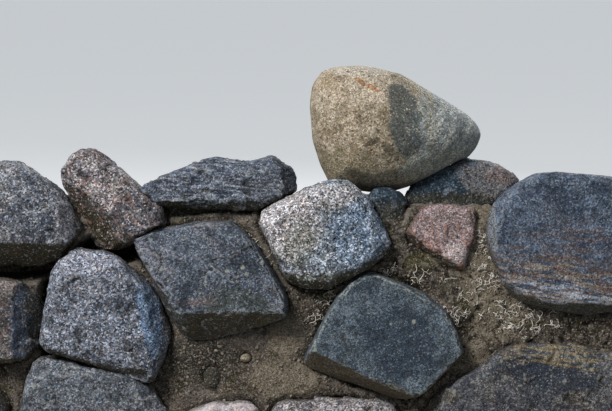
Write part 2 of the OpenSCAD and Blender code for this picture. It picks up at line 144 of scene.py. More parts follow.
class Graph:
    """A node tree that is built by calls."""

    def __init__(self, tree):
        self.tree = tree

    def add(self, kind, settings=None, inputs=None, output=None):
        node = self.tree.nodes.new(kind)
        for name, value in (settings or {}).items():
            setattr(node, name, value)
        for name, value in (inputs or {}).items():
            socket = self.pick(node.inputs, name)
            if isinstance(value, Wire):
                self.tree.links.new(value.socket, socket)
            else:
                socket.default_value = value
        return Wire(self, self.pick(node.outputs, output or 0))

    def pick(self, sockets, name):
        shown = [s for s in sockets if s.enabled]
        return shown[name] if isinstance(name, int) else next(s for s in shown if s.name == name)

    def ramp(self, value, low, high):
        """0 below low, 1 above high, and a smooth rise between."""
        return self.add(
            "ShaderNodeMapRange", {"interpolation_type": "SMOOTHSTEP"},
            {"Value": value, "From Min": low, "From Max": high})

    def mix(self, factor, a, b):
        return self.add(
            "ShaderNodeMix", {"data_type": "RGBA"}, {"Factor": factor, "A": a, "B": b})

    def over(self, colour, share, tint):
        """A colour with a share of a tint laid over it."""
        return self.mix(share, colour, paint(tint))

    def noise(self, place, wavelength, detail=3.0, roughness=0.55, seed=0.0, warp=0.0):
        """Cloudy noise from 0 to 1, about 0.5 on average."""
        return self.add(
            "ShaderNodeTexNoise", {"noise_dimensions": "4D"},
            {"Vector": place, "W": seed, "Scale": 1 / wavelength, "Detail": detail,
             "Roughness": roughness, "Distortion": warp})

    def swing(self, *noise):
        """The same noise from -1 to 1."""
        return (self.noise(*noise) - 0.5) * 2

    def vector(self, operation, *terms):
        return self.add("ShaderNodeVectorMath", {"operation": operation}, dict(enumerate(terms)))

    def dot(self, a, b):
        return self.vector("DOT_PRODUCT", a, b)

    def scaled(self, vector, factor):
        return self.vector("SCALE", vector, factor)

    def part(self, vector, axis):
        return self.add("ShaderNodeSeparateXYZ", None, {0: vector}, axis)

    def cells(self, place, scale, output="Color"):
        """Voronoi cells, so many to a metre, each with a random colour of its own."""
        return self.add("ShaderNodeTexVoronoi", None, {"Vector": place, "Scale": scale}, output)


def paint(text):
    """A colour written as a web colour, as Blender's linear numbers."""
    parts = [int(text[i : i + 2], 16) / 255 for i in (1, 3, 5)]
    linear = [c / 12.92 if c <= 0.04045 else ((c + 0.055) / 1.055) ** 2.4 for c in parts]
    return (*linear, 1.0)


print("a middle grey is", paint("#808080"))

# %% [markdown]
# ## The weathered skin
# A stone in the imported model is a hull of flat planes. Frost and handling have taken the edge off
# a real stone's arrises and knocked chips from them, and its faces undulate, step along old cracks
# and show bedding. Blender's voxel remesh gives an even net of small faces, and one Geometry Nodes
# tree then does the weathering, so that every stone can ask for its own amounts. Blurring rounds
# the arrises but also shrinks the stone, so the tree adds back a blur of what the first one took.
# The tree also notes where the skin stands proud and where it lies hollow, for the material.

# %% What the geometry trees share
SOCKETS = {
    int: "NodeSocketInt", float: "NodeSocketFloat", tuple: "NodeSocketVector",
    type(None): "NodeSocketMaterial",
}
PROUD_REACH = 2
PROUD_SHARE = 0.11


def new_tree(name, inputs):
    """An empty Geometry Nodes tree with named inputs, and the wires of those inputs."""
    tree = bpy.data.node_groups.new(name, "GeometryNodeTree")
    tree.interface.new_socket("Geometry", in_out="INPUT", socket_type="NodeSocketGeometry")
    tree.interface.new_socket("Geometry", in_out="OUTPUT", socket_type="NodeSocketGeometry")
    for label, value in inputs.items():
        kind = SOCKETS[type(value)]
        socket = tree.interface.new_socket(label, in_out="INPUT", socket_type=kind)
        if value is not None:
            socket.default_value = value
    g = Graph(tree)
    entry = tree.nodes.new("NodeGroupInput")
    wires = {s.name: Wire(g, s) for s in entry.outputs if s.name}
    return g, wires


def close_tree(g, wires, geometry):
    """Gives the geometry its material and ends the tree."""
    dressed = g.add(
        "GeometryNodeSetMaterial", None, {"Geometry": geometry, "Material": wires["Material"]})
    leave = g.tree.nodes.new("NodeGroupOutput")
    g.tree.links.new(dressed.socket, leave.inputs[0])
    return g.tree


def store(g, geometry, name, value):
    return g.add(
        "GeometryNodeStoreNamedAttribute", {"data_type": "FLOAT", "domain": "POINT"},
        {"Geometry": geometry, "Name": name, "Value": value})


def blurred(g, value, rounds):
    return g.add(
        "GeometryNodeBlurAttribute", {"data_type": "FLOAT_VECTOR"},
        {"Value": value, "Iterations": rounds})


def here(g):
    return g.add("GeometryNodeInputPosition")


def known(g, name):
    """A number that the geometry has at each point."""
    return g.add(
        "GeometryNodeInputNamedAttribute", {"data_type": "FLOAT"}, {"Name": name}, "Attribute")


def put(g, geometry, **where):
    """The geometry with its points at a new Position, or moved by an Offset."""
    return g.add("GeometryNodeSetPosition", None, {"Geometry": geometry, **where})


def moved_out(g, geometry, height):
    """The geometry with each point moved along its normal."""
    normal = g.add("GeometryNodeInputNormal")
    return put(g, geometry, Offset=g.scaled(normal, height))


def standing_out(g, reach):
    """How far a point stands out of the blurred skin around it, along its normal."""
    place = here(g)
    away = g.vector("SUBTRACT", place, blurred(g, place, reach))
    return g.dot(away, g.add("GeometryNodeInputNormal"))


def finished_skin(g, wires, geometry):
    """Flattens what has come under the ground, notes where the skin is proud, and smooths it."""
    x, y, z = (g.part(here(g), axis) for axis in "XYZ")
    level = g.add("ShaderNodeCombineXYZ", None, {"X": x, "Y": y, "Z": z.most(0.0)})
    grounded = put(g, geometry, Position=level)
    height = standing_out(g, PROUD_REACH) / (wires["Net"] * PROUD_SHARE)
    marked = store(g, grounded, "proud", height)
    return g.add("GeometryNodeSetShadeSmooth", None, {"Geometry": marked})


print("a tree can ask for", len(SOCKETS), "kinds of input")

# %% A tree that weathers a stone
SPLIT_NAMES = [f"Split {number}" for number in range(1, 6)]
SKIN_INPUTS = {
    "Rounding": 4, "Undulation": 0.006, "Lumps": 0.003, "Steps": 0.10, "Chips": 0.004,
    "Ledges": 0.0, "Ledge Thickness": 0.011, "Seed": 0.0, "Tone": 0.0, "Net": 0.0055,
    "Material": None, **{name: (0.0, 0.0, 0.0) for name in SPLIT_NAMES},
}
UNDULATION_LENGTH = 0.140
LUMP_LENGTH = 0.042
STEP_LENGTH = 0.070
STEP_SWAY = 0.05
STEP_SWAY_SCALE = 22.0
CHIP_LENGTH = 0.026
BED_SWING = 0.06
BED_SWING_LENGTH = 0.12
BED_BREAK_LENGTH = 0.05
ARRIS_REACH = 3
ARRIS_HEIGHT = 0.0012


def split_off(g, geometry, split):
    """Cuts a flake off: the split points the way the flake flew, and is as long as it was thick."""
    way = g.vector("NORMALIZE", split)
    reach = g.dot(here(g), way)
    furthest = g.add(
        "GeometryNodeAttributeStatistic", {"data_type": "FLOAT"},
        {"Geometry": geometry, "Attribute": reach}, "Max")
    thick = g.vector("LENGTH", split)
    beyond = (reach - furthest + thick).most(0.0)
    return put(g, geometry, Offset=g.scaled(way, beyond * -1))


def skin_tree():
    g, wires = new_tree("weathered skin", SKIN_INPUTS)
    place = here(g)
    seed = wires["Seed"]
    flaked = wires["Geometry"]
    for name in SPLIT_NAMES:
        flaked = split_off(g, flaked, wires[name])
    soft = blurred(g, place, wires["Rounding"])
    taken = blurred(g, g.vector("SUBTRACT", place, soft), wires["Rounding"])
    rounded = put(g, flaked, Position=g.vector("ADD", soft, taken))
    # Chips are knocked from the arrises only, here and there
    arris = g.ramp(standing_out(g, ARRIS_REACH) / ARRIS_HEIGHT, 0.3, 1.2)
    knocked = g.ramp(g.noise(place, CHIP_LENGTH, 3.0, 0.6, seed + 2.2), 0.47, 0.62)
    chipped = moved_out(g, rounded, arris * knocked * wires["Chips"] * -1)

    swell = g.swing(place, UNDULATION_LENGTH, 2.0, 0.5, seed) * wires["Undulation"]
    lump = g.swing(place, LUMP_LENGTH, 4.0, 0.62, seed + 7.3, 0.4) * wires["Lumps"]
    # Old cracks split the skin into panes, each tilted its own way
    sway = g.add(
        "ShaderNodeTexNoise", {"noise_dimensions": "4D"},
        {"Vector": place, "W": seed, "Scale": STEP_SWAY_SCALE, "Detail": 2.0}, "Color")
    swayed = g.vector("MULTIPLY_ADD", sway, (STEP_SWAY,) * 3, place)
    cells = {"voronoi_dimensions": "4D", "feature": "F1"}
    shape = {"Vector": swayed, "W": seed, "Scale": 1 / STEP_LENGTH}
    pane = g.add("ShaderNodeTexVoronoi", cells, shape, "Color")
    heart = g.add("ShaderNodeTexVoronoi", cells, shape, "Position")
    tilt = g.vector("SUBTRACT", pane, (0.5, 0.5, 0.5))
    run = g.dot(g.vector("SUBTRACT", swayed, heart), tilt)
    step = run * wires["Steps"] * 2
    # Bedding shows as ledges, each standing out by its own amount
    swing = (g.noise(place, BED_SWING_LENGTH, 2.0, 0.5, seed) - 0.5) * BED_SWING
    level = (g.part(place, "Z") + swing) / wires["Ledge Thickness"]
    bed = g.add(
        "ShaderNodeTexNoise", {"noise_dimensions": "1D"},
        {"W": level + seed, "Scale": 1.0, "Detail": 2.0})
    broken = g.ramp(g.noise(place, BED_BREAK_LENGTH, 3.0, 0.6, seed + 4.0), 0.35, 0.6)
    ledge = (g.ramp(bed, 0.40, 0.60) - 0.5) * 2 * wires["Ledges"] * broken
    worn = moved_out(g, chipped, swell + lump + step + ledge)
    toned = store(g, finished_skin(g, wires, worn), "tone", wires["Tone"])
    return close_tree(g, wires, toned)


weathering = skin_tree()
print("the weathering tree has", len(weathering.nodes), "nodes")

# %% [markdown]
# ## Flakes
# Frost and the hammer have struck flakes from field stones, and each has left a face that is nearly
# flat. The tree cuts them before it rounds the stone. A flake is one vector here: it points the way
# the flake flew, and is as long as the flake was thick. The table says what the stones of the
# picture have lost, as the photographer sees it: right, up, out and thickness. The others lose
# theirs by chance.

# %% What has been struck off
CHANCE_SPLIT = (0.006, 0.026)
SPLITS = {
    "left_cope_boulder": [
        (-0.2, 0.7, 0.7, 0.012), (0.1, -0.2, 1, 0.010), (0.8, 0.05, 0.6, 0.020),
        (0, -0.8, 0.6, 0.022)],
    "leaning_cope_stone": [
        (0.2, 0.3, 0.95, 0.010), (-0.62, -0.45, 0.64, 0.026), (0.7, 0.5, 0.5, 0.010)],
    "banded_cope_slab": [
        (0, 0.6, 0.8, 0.008), (0, -0.7, 0.7, 0.008), (0.8, 0.2, 0.5, 0.010)],
    "round_grey_boulder": [
        (-0.5, 0.5, 0.7, 0.006), (0.6, -0.4, 0.7, 0.006), (0.7, 0.3, 0.6, 0.006)],
    "rear_cope_stone": [
        (-0.3, 0.6, 0.7, 0.010), (0.6, 0.5, 0.6, 0.010), (0, 0, 1, 0.005)],
    "rear_wedge_stone": [(0, 0.6, 0.8, 0.006), (0.6, 0, 0.8, 0.006)],
    "pink_granite_stone": [(0, 0.2, 1, 0.004), (-0.6, -0.6, 0.5, 0.006)],
    "big_dark_slab": [
        (-0.8, 0.2, 0.6, 0.010), (0, -0.8, 0.6, 0.010), (0, 0.7, 0.7, 0.008)],
    "undercut_dark_block": [(0, 0.15, 1, 0.006), (0, -0.75, 0.65, 0.010)],
    "grey_granite_block": [
        (0, 0.7, 0.7, 0.016), (0.8, 0.15, 0.6, 0.018), (0, 0, 1, 0.006),
        (-0.1, -0.6, 0.8, 0.012), (-0.7, 0.2, 0.7, 0.008)],
    "left_low_boulder": [(-0.1, 0.2, 0.97, 0.006), (0.75, 0, 0.65, 0.024)],
    "lower_left_block": [
        (0, 0.6, 0.8, 0.012), (-0.1, -0.1, 1, 0.006), (0.6, 0.3, 0.75, 0.014)],
    "low_pale_stone": [(0, 0.5, 0.85, 0.006)],
    "low_granite_stone": [(-0.1, 0.6, 0.8, 0.008), (0.7, 0.2, 0.7, 0.010)],
    "low_right_boulder": [
        (0.1, 0.6, 0.8, 0.012), (-0.7, 0.3, 0.65, 0.016), (0, 0, 1, 0.006)],
}


def seen_from_front(right, up, out):
    """A direction as the photographer sees it, as a direction of the wall."""
    c, s = math.cos(BATTER), math.sin(BATTER)
    return np.array([right, up * s - out * c, up * c + out * s])


def chance_splits(seed):
    """Flakes that any field stone has lost, none of them from underneath."""
    chance = np.random.default_rng(seed)
    ways = chance.normal(size=(len(SPLIT_NAMES), 3))
    ways[:, 2] = np.abs(ways[:, 2])
    thick = chance.uniform(*CHANCE_SPLIT, len(SPLIT_NAMES))
    return ways / np.linalg.norm(ways, axis=1)[:, None] * thick[:, None]


def chosen_splits(node):
    """The flakes that the picture shows to be gone."""
    rows = SPLITS.get(node, [])
    ways = [seen_from_front(*row[:3]) for row in rows]
    return [way / np.linalg.norm(way) * row[3] for way, row in zip(ways, rows)]


print("flakes are chosen by eye for", len(SPLITS), "stones")

# %% [markdown]
# ## From hull to stone
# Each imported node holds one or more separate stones. They are taken apart, remeshed and weathered
# one by one, because a remesh would weld neighbours that touch. What lies deep in the earth is
# never seen, so there the net is thinned.

# %% Planes of the packed earth
ends = WALL_LENGTH / 2 - EARTH_RECESS


def earth_outline():
    """The earth's cross-section as points of Y and Z, from the front foot round."""
    front_brow = on_front(0, FRONT_HEIGHT - CREST_DROP - CREST_ROUND, EARTH_RECESS)
    front_crest = on_front(0, FRONT_HEIGHT - CREST_DROP, EARTH_RECESS + CREST_ROUND)
    back_brow = on_back(0, BACK_HEIGHT - CREST_ROUND, EARTH_RECESS)
    back_crest = on_back(0, BACK_HEIGHT - CREST_ROUND / 2, EARTH_RECESS + CREST_ROUND)
    foot = FOOT_HALF_WIDTH - EARTH_RECESS
    points = [(-foot, 0.0), (foot, 0.0)]
    return points + [(p.y, p.z) for p in (back_brow, back_crest, front_crest, front_brow)]


def depth_in_earth(points):
    """How deep each point lies inside the earth; less than nothing outside it."""
    outline = np.array(earth_outline())
    depth = ends - np.abs(points[:, 0])
    for here, there in zip(outline, np.roll(outline, -1, axis=0)):
        along = (there - here) / np.linalg.norm(there - here)
        inward = np.array([-along[1], along[0]])
        depth = np.minimum(depth, (points[:, 1:] - here) @ inward)
    return depth


print("the earth's cross-section has", len(earth_outline()), "corners")


# %% Taking a node apart
MERGED_WITHIN = 1e-6


def separate(node):
    """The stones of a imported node, each as a mesh of its own."""
    whole = bmesh.new()
    whole.from_mesh(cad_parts[node].data)
    bmesh.ops.remove_doubles(whole, verts=whole.verts, dist=MERGED_WITHIN)
    unseen = set(whole.verts)
    stones = []
    while unseen:
        group = set()
        front = [min(unseen, key=lambda v: v.index)]
        while front:
            vertex = front.pop()
            if vertex not in group:
                group.add(vertex)
                front.extend(edge.other_vert(vertex) for edge in vertex.link_edges)
        unseen -= group
        order = {v: i for i, v in enumerate(sorted(group, key=lambda v: v.index))}
        faces = [[order[v] for v in f.verts] for f in whole.faces if f.verts[0] in group]
        mesh = bpy.data.meshes.new(node)
        mesh.from_pydata([v.co[:] for v in order], [], faces)
        stones.append(mesh)
    whole.free()
    return sorted(stones, key=lambda m: min(round(v.co.x, 3) for v in m.vertices))


print("there are", len(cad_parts), "packed nodes")

# %% Pieces and their modifiers
FINEST_NET = 0.0046
FINE_NET = 0.0055
COARSE_NET = 0.0090
PEBBLE_NET = 0.0025
HIDDEN_KEPT = 0.10
LEAST_HIDDEN = 0.05


def coordinates(mesh):
    flat = np.empty(len(mesh.vertices) * 3)
    mesh.vertices.foreach_get("co", flat)
    return flat.reshape(-1, 3)


def use_tree(piece, tree, values):
    """Puts a Geometry Nodes tree on a piece, with its inputs set by their identifiers."""
    modifier = piece.modifiers.new(tree.name, "NODES")
    modifier.node_group = tree
    for item in tree.interface.items_tree:
        if item.in_out == "INPUT" and item.name in values:
            modifier[item.identifier] = values[item.name]


def settle(piece):
    """Turns a piece and its modifiers into a plain mesh."""
    bpy.context.view_layer.update()
    shown = piece.evaluated_get(bpy.context.evaluated_depsgraph_get())
    mesh = bpy.data.meshes.new_from_object(shown)
    piece.modifiers.clear()
    piece.data = mesh
    return piece


def keep_values(piece, name, values):
    """Keeps one number a point on a piece, for its materials and trees."""
    attribute = piece.data.attributes.new(name, "FLOAT", "POINT")
    attribute.data.foreach_set("value", values.astype(np.float32))


def place(name, mesh):
    piece = bpy.data.objects.new(name, mesh)
    bpy.context.collection.objects.link(piece)
    return piece


def thin_hidden(piece, hidden):
    """Thins the net where hidden is 1 and leaves it where it is 0."""
    group = piece.vertex_groups.new(name="hidden")
    for weight in (0.5, 1.0):
        chosen = np.nonzero((hidden > weight - 0.3) & (hidden <= weight + 0.3))[0]
        group.add(chosen.tolist(), weight, "REPLACE")
    share = float((hidden > 0.5).mean())
    if share < LEAST_HIDDEN:
        return piece
    modifier = piece.modifiers.new("thin", "DECIMATE")
    modifier.vertex_group = group.name
    modifier.ratio = 1 - share * (1 - HIDDEN_KEPT)
    return settle(piece)


def join(pieces, name):
    with bpy.context.temp_override(active_object=pieces[0], selected_editable_objects=pieces):
        if len(pieces) > 1:
            bpy.ops.object.join()
    pieces[0].name = name
    return pieces[0]


def net_size(net):
    return net * 1.0


def remesh(piece, net):
    """Gives a piece an even net of small faces."""
    modifier = piece.modifiers.new("net", "REMESH")
    modifier.mode = "VOXEL"
    modifier.voxel_size = net_size(net)


def triangles(piece):
    return sum(len(p.vertices) - 2 for p in piece.data.polygons)


print("a fine net here is", round(net_size(FINE_NET), 4), "metres wide")

# %% Dressing the stones of a node
HIDDEN_FROM = 0.020
HIDDEN_BY = 0.060
SMEARED_FROM = 0.050
SMEARED_BY = 0.035
SEED_STEP = 3.7


def dress(node, look, rocks):
    """Weathers every stone of a node and joins them into the piece that stands for it."""
    stones = []
    for number, mesh in enumerate(separate(node)):
        stone = place(node, mesh)
        remesh(stone, look["Net"])
        values = {label: value[number % len(value)] if isinstance(value, list) else value
                  for label, value in look.items()}
        values["Seed"] += SEED_STEP * number
        values["Net"] = net_size(look["Net"])
        values["Material"] = rocks[number % len(rocks)]
        splits = chance_splits(int(values["Seed"])) if look["Flaked"] else chosen_splits(node)
        values.update({name: tuple(split) for name, split in zip(SPLIT_NAMES, splits)})
        use_tree(stone, weathering, values)
        settle(stone)
        depth = depth_in_earth(coordinates(stone.data))
        keep_values(stone, "buried", np.clip((depth + SMEARED_FROM) / SMEARED_BY, 0, 1))
        stones.append(thin_hidden(stone, np.clip((depth - HIDDEN_FROM) / HIDDEN_BY, 0, 1)))
    return join(stones, node + ".stone")


print("skin", SMEARED_FROM, "metres from the earth and nearer is smeared with it")

# %% [markdown]
# ## The rocks
# Under its grains a rock wavers between a dark and a light tone. A tint is a ragged patch at a place
# of its own on the front face, for a stone that is darker or warmer on one side, and a streak is a
# tint drawn out into thin lines. A few tints are painted highlight or painted shade on a facet.
# Either says where it lies along and up, how long and wide it is and how it is turned, a streak also
# how wide its lines are, then its colour and strength. Granite is a mass of grains, pale quartz and
# feldspar and dark mica: a Voronoi pattern of cells a few millimetres wide, coloured by each cell's
# own random number, gives just that. Lichen leaves pale dots and arrises are worn pale. Frost leaves
# pits and hairline cracks, and the shade in them is painted dark. Hollows and undersides take a soil
# colour that is partly real soil and partly painted shade.


# %% How a material begins and ends
def new_matter(name):
    """An empty material, its graph, and the place of a point in the wall."""
    material = bpy.data.materials.new(name)
    material.use_nodes = True
    material.node_tree.nodes.clear()
    g = Graph(material.node_tree)
    return material, g, g.add("ShaderNodeTexCoord", None, None, "Object")


def finish_matter(material, g, inputs):
    surface = g.add("ShaderNodeBsdfPrincipled", None, inputs)
    out = g.tree.nodes.new("ShaderNodeOutputMaterial")
    g.tree.links.new(surface.socket, out.inputs["Surface"])
    return material


def rough_light(g, height, strength, depth):
    """Normals of a surface that is rougher than its mesh."""
    return g.add(
        "ShaderNodeBump", None, {"Strength": strength, "Distance": depth, "Height": height})


def kept(g, name):
    """A number that a piece keeps at each of its points."""
    return g.add("ShaderNodeAttribute", {"attribute_name": name}, None, "Fac")


print("a material reads three kept numbers: tone, proud and buried")

# %% Patches and streaks on the face
PATCH_SOFT = 0.3
PATCH_RAGGED = 1.3
STREAK_LENGTH = 0.06
STREAK_DEPTH = 0.05


def place_on_face(g, where, at, reach, turn):
    """How far a point lies along and across an ellipse on the front face, in its own reaches."""
    away = g.vector("SUBTRACT", where, tuple(on_front(*at)))
    c, s = math.cos(math.radians(turn)), math.sin(math.radians(turn))
    along = g.dot(away, (c / reach[0], 0.0, s / reach[0]))
    across = g.dot(away, (-s / reach[1], 0.0, c / reach[1]))
    return along, across


def patch_mask(g, where, at, reach, turn, seed):
    """1 inside an ellipse on the front face, 0 outside it and behind, with a ragged edge."""
    along, across = place_on_face(g, where, at, reach, turn)
    rough = g.swing(where, 0.03, 5.0, 0.68, seed) * PATCH_RAGGED
    in_front = g.ramp(g.part(where, "Y") + rough * 0.05, 0.0, -0.14)
    away = along * along + across * across + rough
    return g.ramp(away, 1 + PATCH_SOFT, 1 - PATCH_SOFT) * in_front


def streak_mask(g, where, at, reach, turn, width, seed):
    """The same, drawn out into thin lines that run along the ellipse."""
    along, across = place_on_face(g, where, at, (STREAK_LENGTH, width), turn)
    depth = g.part(where, "Y") / STREAK_DEPTH + seed
    drawn = g.add("ShaderNodeCombineXYZ", None, {"X": along, "Y": across, "Z": depth})
    lines = g.add("ShaderNodeTexNoise", None, {"Vector": drawn, "Scale": 1.0, "Detail": 3.0})
    return g.ramp(lines, 0.47, 0.60) * patch_mask(g, where, at, reach, turn, seed)


print("the middle of the face is at", tuple(round(v, 3) for v in on_front(0.0, 0.5)))

# %% One recipe for every rock
FINE_RELIEF = 0.008
LICHEN_APART = 0.022
PITS_APART = 0.012


def rock(
        name, dark="#3c424f", light="#858890", pit_shade="#1c1f26", quartz="#c4c4cc",
        stain="#6b5f50", stained=0.35, grain=0.0036, specks=0.9, cast=0.16, mica_share=0.30,
        quartz_share=0.24, contrast=1.1, sparks=0.05, coarse_share=0.0, soil_and_shade="#38321f", soiled_and_shaded=0.9,
        edge="#9da0a6", edged=0.35, edge_reach=1.0, lichen="#a3a79c", lichened=0.5,
        lichen_share=0.10, pitted=0.6, cracked=0.35, tints=(), streaks=(), bump=0.9, seed=0.0):
    """A rock's material: colours, grain in metres, and how much of each thing it has."""
    material, g, where = new_matter(name)
    proud = kept(g, "proud")
    shift = seed + kept(g, "tone") * 5.0

    # The body of the rock with its patches and streaks
    cloud = g.noise(where, 0.15, 3.0, 0.6, shift)
    patch = g.noise(where, 0.030, 5.0, 0.68, shift + 3.1)
    fine = g.noise(where, 0.0065, 3.0, 0.6, shift + 5.9)
    mottle = cloud * 0.25 + patch * 0.45 + fine * 0.30
    colour = g.mix(g.ramp(mottle, 0.42, 0.58), paint(dark), paint(light))
    rust = g.ramp(g.noise(where, 0.09, 5.0, 0.6, shift + 11.7), 0.50, 0.66)
    colour = g.over(colour, rust * stained, stain)
    for x, y, long, wide, turn, tint, amount in tints:
        mask = patch_mask(g, where, (x, y), (long, wide), turn, seed + x * 9)
        colour = g.over(colour, mask * amount, tint)
    for x, y, long, wide, turn, width, tint, amount in streaks:
        mask = streak_mask(g, where, (x, y), (long, wide), turn, width, seed + y * 9)
        colour = g.over(colour, mask * amount, tint)

    # Painted shade in soil colour under and in hollows; real soil where the stone meets the earth
    facing = g.part(g.add("ShaderNodeNewGeometry", None, None, "Normal"), "Z")
    # painted shade: downward-facing and hollow skin takes the soil colour
    under = g.ramp(facing + (patch - 0.5) * 0.7, -0.20, -0.60)
    hollow = g.ramp(proud + (patch - 0.5) * 1.5, -0.8, -2.6) * 0.7
    smeared = g.ramp(kept(g, "buried") + (patch - 0.5) * 2.0, 0.25, 0.85) * 0.8
    colour = g.over(colour, under.most(hollow).most(smeared) * soiled_and_shaded, soil_and_shade)

    # Its grains
    sway = {"Vector": where, "Scale": 0.7 / grain, "Detail": 2.0}
    bent = g.vector(
        "MULTIPLY_ADD", g.add("ShaderNodeTexNoise", None, sway, "Color"), (grain,) * 3, where)
    crystal = g.cells(bent, 1 / grain)
    lot = g.part(crystal, "X") + (patch - 0.5) * 0.5
    dark_grain = g.ramp(lot, mica_share, mica_share - 0.06)
    pale_grain = g.ramp(lot, 1 - quartz_share, 1 - quartz_share + 0.06)
    gain = 1 - dark_grain * (contrast * 0.62) + pale_grain * contrast
    gain = gain + (g.part(g.cells(where, 1.8 / grain), "X") - 0.5) * specks
    colour = g.scaled(colour, gain.most(0.15))
    warm, cool = (1 + cast, 1.0, 1 - cast, 1.0), (1 - cast, 1.0, 1 + cast, 1.0)
    colour = g.vector("MULTIPLY", colour, g.mix(g.part(crystal, "Y"), warm, cool))
    bright = g.ramp(lot, 0.965 - sparks, 1.0 - sparks) * 0.6
    colour = g.over(colour, bright, quartz)
    if coarse_share:
        feldspar = g.part(g.cells(bent, 0.5 / grain), "Y")
        chosen = g.ramp(feldspar, 1 - coarse_share, 1 - coarse_share + 0.06)
        colour = g.over(colour, chosen * 0.7, stain)

    # Lichen dots, and painted shade in pits and cracks
    chosen = g.part(g.cells(bent, 1 / LICHEN_APART), "Y")
    near = g.cells(bent, 1 / LICHEN_APART, "Distance") + (fine - 0.5) * 0.5
    spot = g.ramp(near, 0.34, 0.16) * g.ramp(chosen, 1 - lichen_share, 1 - lichen_share + 0.05)
    colour = g.over(colour, spot * lichened, lichen)
    picked = g.part(g.cells(bent, 1 / PITS_APART), "Z")
    deep = g.cells(bent, 1 / PITS_APART, "Distance") + (fine - 0.5) * 0.6
    pit = g.ramp(deep, 0.36, 0.12) * g.ramp(picked, 0.72, 0.78)
    line = g.noise(where, 0.11, 5.0, 0.55, shift + 17.0, 0.3) - 0.5
    crack = g.ramp(line * line, 0.00006, 0.0) * g.ramp(cloud, 0.44, 0.54)
    dint = (pit * pitted).most(crack * cracked)
    # pits and cracks are painted dark as the shade in them
    colour = g.over(colour, dint * 0.75, pit_shade)

    # Worn arrises
    crest = proud * edge_reach + (patch - 0.5) * 2.0
    worn = g.ramp(crest, 0.8, 2.4) * g.ramp(fine, 0.38, 0.52)
    colour = g.over(colour, worn * edged, edge)
    height = fine * 0.5 + patch * 1.6 + g.part(crystal, "Z") * 0.2 - dint * 0.6
    return finish_matter(material, g, {
        "Base Color": colour, "Roughness": pale_grain * -0.2 + 0.88, "Specular IOR Level": 0.35,
        "Normal": rough_light(g, height, bump, FINE_RELIEF)})


# %% The rocks of this wall
river_buff = rock(
    "river worn buff stone", "#7c705c", "#aea190", "#3f392e", "#cdc4b5", "#8a7558", stained=0.3,
    lichened=0.1, edged=0.0, mica_share=0.24, contrast=0.7, grain=0.0030, specks=0.6, cast=0.08,
    pitted=1.0, bump=0.5, soil_and_shade="#8c8a7c", soiled_and_shaded=0.3, sparks=0.0, seed=2.0,
    tints=[
        (0.39, 1.06, 0.125, 0.17, 0, "#8d9496", 0.9), (0.246, 1.1, 0.04, 0.1, 8, "#394346", 0.8),
        (0.28, 1.06, 0.06, 0.09, 0, "#5f6663", 0.2),
        # painted light: a pale patch on the boulder's lower right belly, which faces down into shade
        (0.33, 0.985, 0.095, 0.04, 15, "#b1b7b0", 0.65),
        (0.137, 1.196, 0.016, 0.006, -35, "#8f5f3c", 0.8),
        (0.17, 1.18, 0.02, 0.005, -25, "#9a6a44", 0.8),
        (0.165, 1.046, 0.026, 0.007, 25, "#443d2f", 0.8),
        (0.205, 1.03, 0.012, 0.022, 30, "#4a4436", 0.8),
        # the second patch is a painted highlight along the boulder's top, where the light falls
        (0.1, 0.985, 0.08, 0.04, 0, "#71674f", 0.5), (0.12, 1.235, 0.11, 0.028, -4, "#b4ada1", 0.6)],
    streaks=[
        (0.3, 1.12, 0.085, 0.03, 98, 0.012, "#93886d", 0.75),
        (0.33, 1.04, 0.11, 0.085, 75, 0.022, "#565d60", 0.45),
        (0.37, 1.06, 0.1, 0.075, 50, 0.013, "#bdbdb6", 0.6)])
mica_grey = rock(
    "speckled grey granite", stain="#6f6058", stained=0.3, seed=5.0,
    tints=[
        (-0.69, 0.842, 0.13, 0.034, -4, "#39414f", 0.5),
        # painted shade in a soil brown on the boulder's underside
        (-0.69, 0.765, 0.13, 0.034, 2, "#2a241b", 0.85),
        # painted highlight on the boulder's lit right facet
        (-0.597, 0.86, 0.03, 0.065, 0, "#b3b0ba", 0.6)])
blue_grained = rock(
    "blue grained granite", dark="#3b414c", light="#868b99", quartz="#cdd1de", seed=5.5,
    stain="#6a5f5a", stained=0.25, contrast=1.2,
    tints=[
        (-0.545, 0.745, 0.09, 0.03, 0, "#a3a5b4", 0.5),
        (-0.392, 0.61, 0.026, 0.09, 12, "#5b7594", 0.7)])
dark_speckled = rock(
    "dark speckled granite", "#3e434b", "#747982", "#1e2127", "#a9abb6", "#635649", contrast=0.9,
    seed=6.0,
    streaks=[
        (-0.39, 0.395, 0.05, 0.018, -8, 0.008, "#a8aab0", 0.6)])
light_grey = rock(
    "light grey granite", "#4e5863", "#9da4b0", "#272e38", "#e6e9f0", "#80776c", stained=0.2,
    contrast=1.4, cast=0.11, seed=7.0,
    tints=[
        # painted highlight on the boulder's upper left, which faces the light
        (-0.06, 0.845, 0.09, 0.085, -35, "#b8b1b3", 0.75),
        (0.05, 0.915, 0.09, 0.03, 5, "#a39c9c", 0.6), (0.13, 0.815, 0.07, 0.08, 0, "#6d84a0", 0.55),
        (-0.015, 0.8, 0.04, 0.06, -20, "#66675c", 0.6), (0.02, 0.7, 0.12, 0.026, 0, "#4a4835", 0.7)])
coarse_pink = rock(
    "coarse pink granite", "#4a464c", "#949094", "#1d1c21", "#ddd7d6", "#8f6f64", stained=0.25,
    coarse_share=0.13, contrast=1.4, seed=9.0,
    tints=[
        (-0.43, 0.862, 0.06, 0.055, 0, "#46454d", 0.8),
        # painted shade in soil brown on the stone's lower left facet, which faces away from the
        # light
        (-0.535, 0.848, 0.115, 0.026, -47, "#352c22", 0.85)])
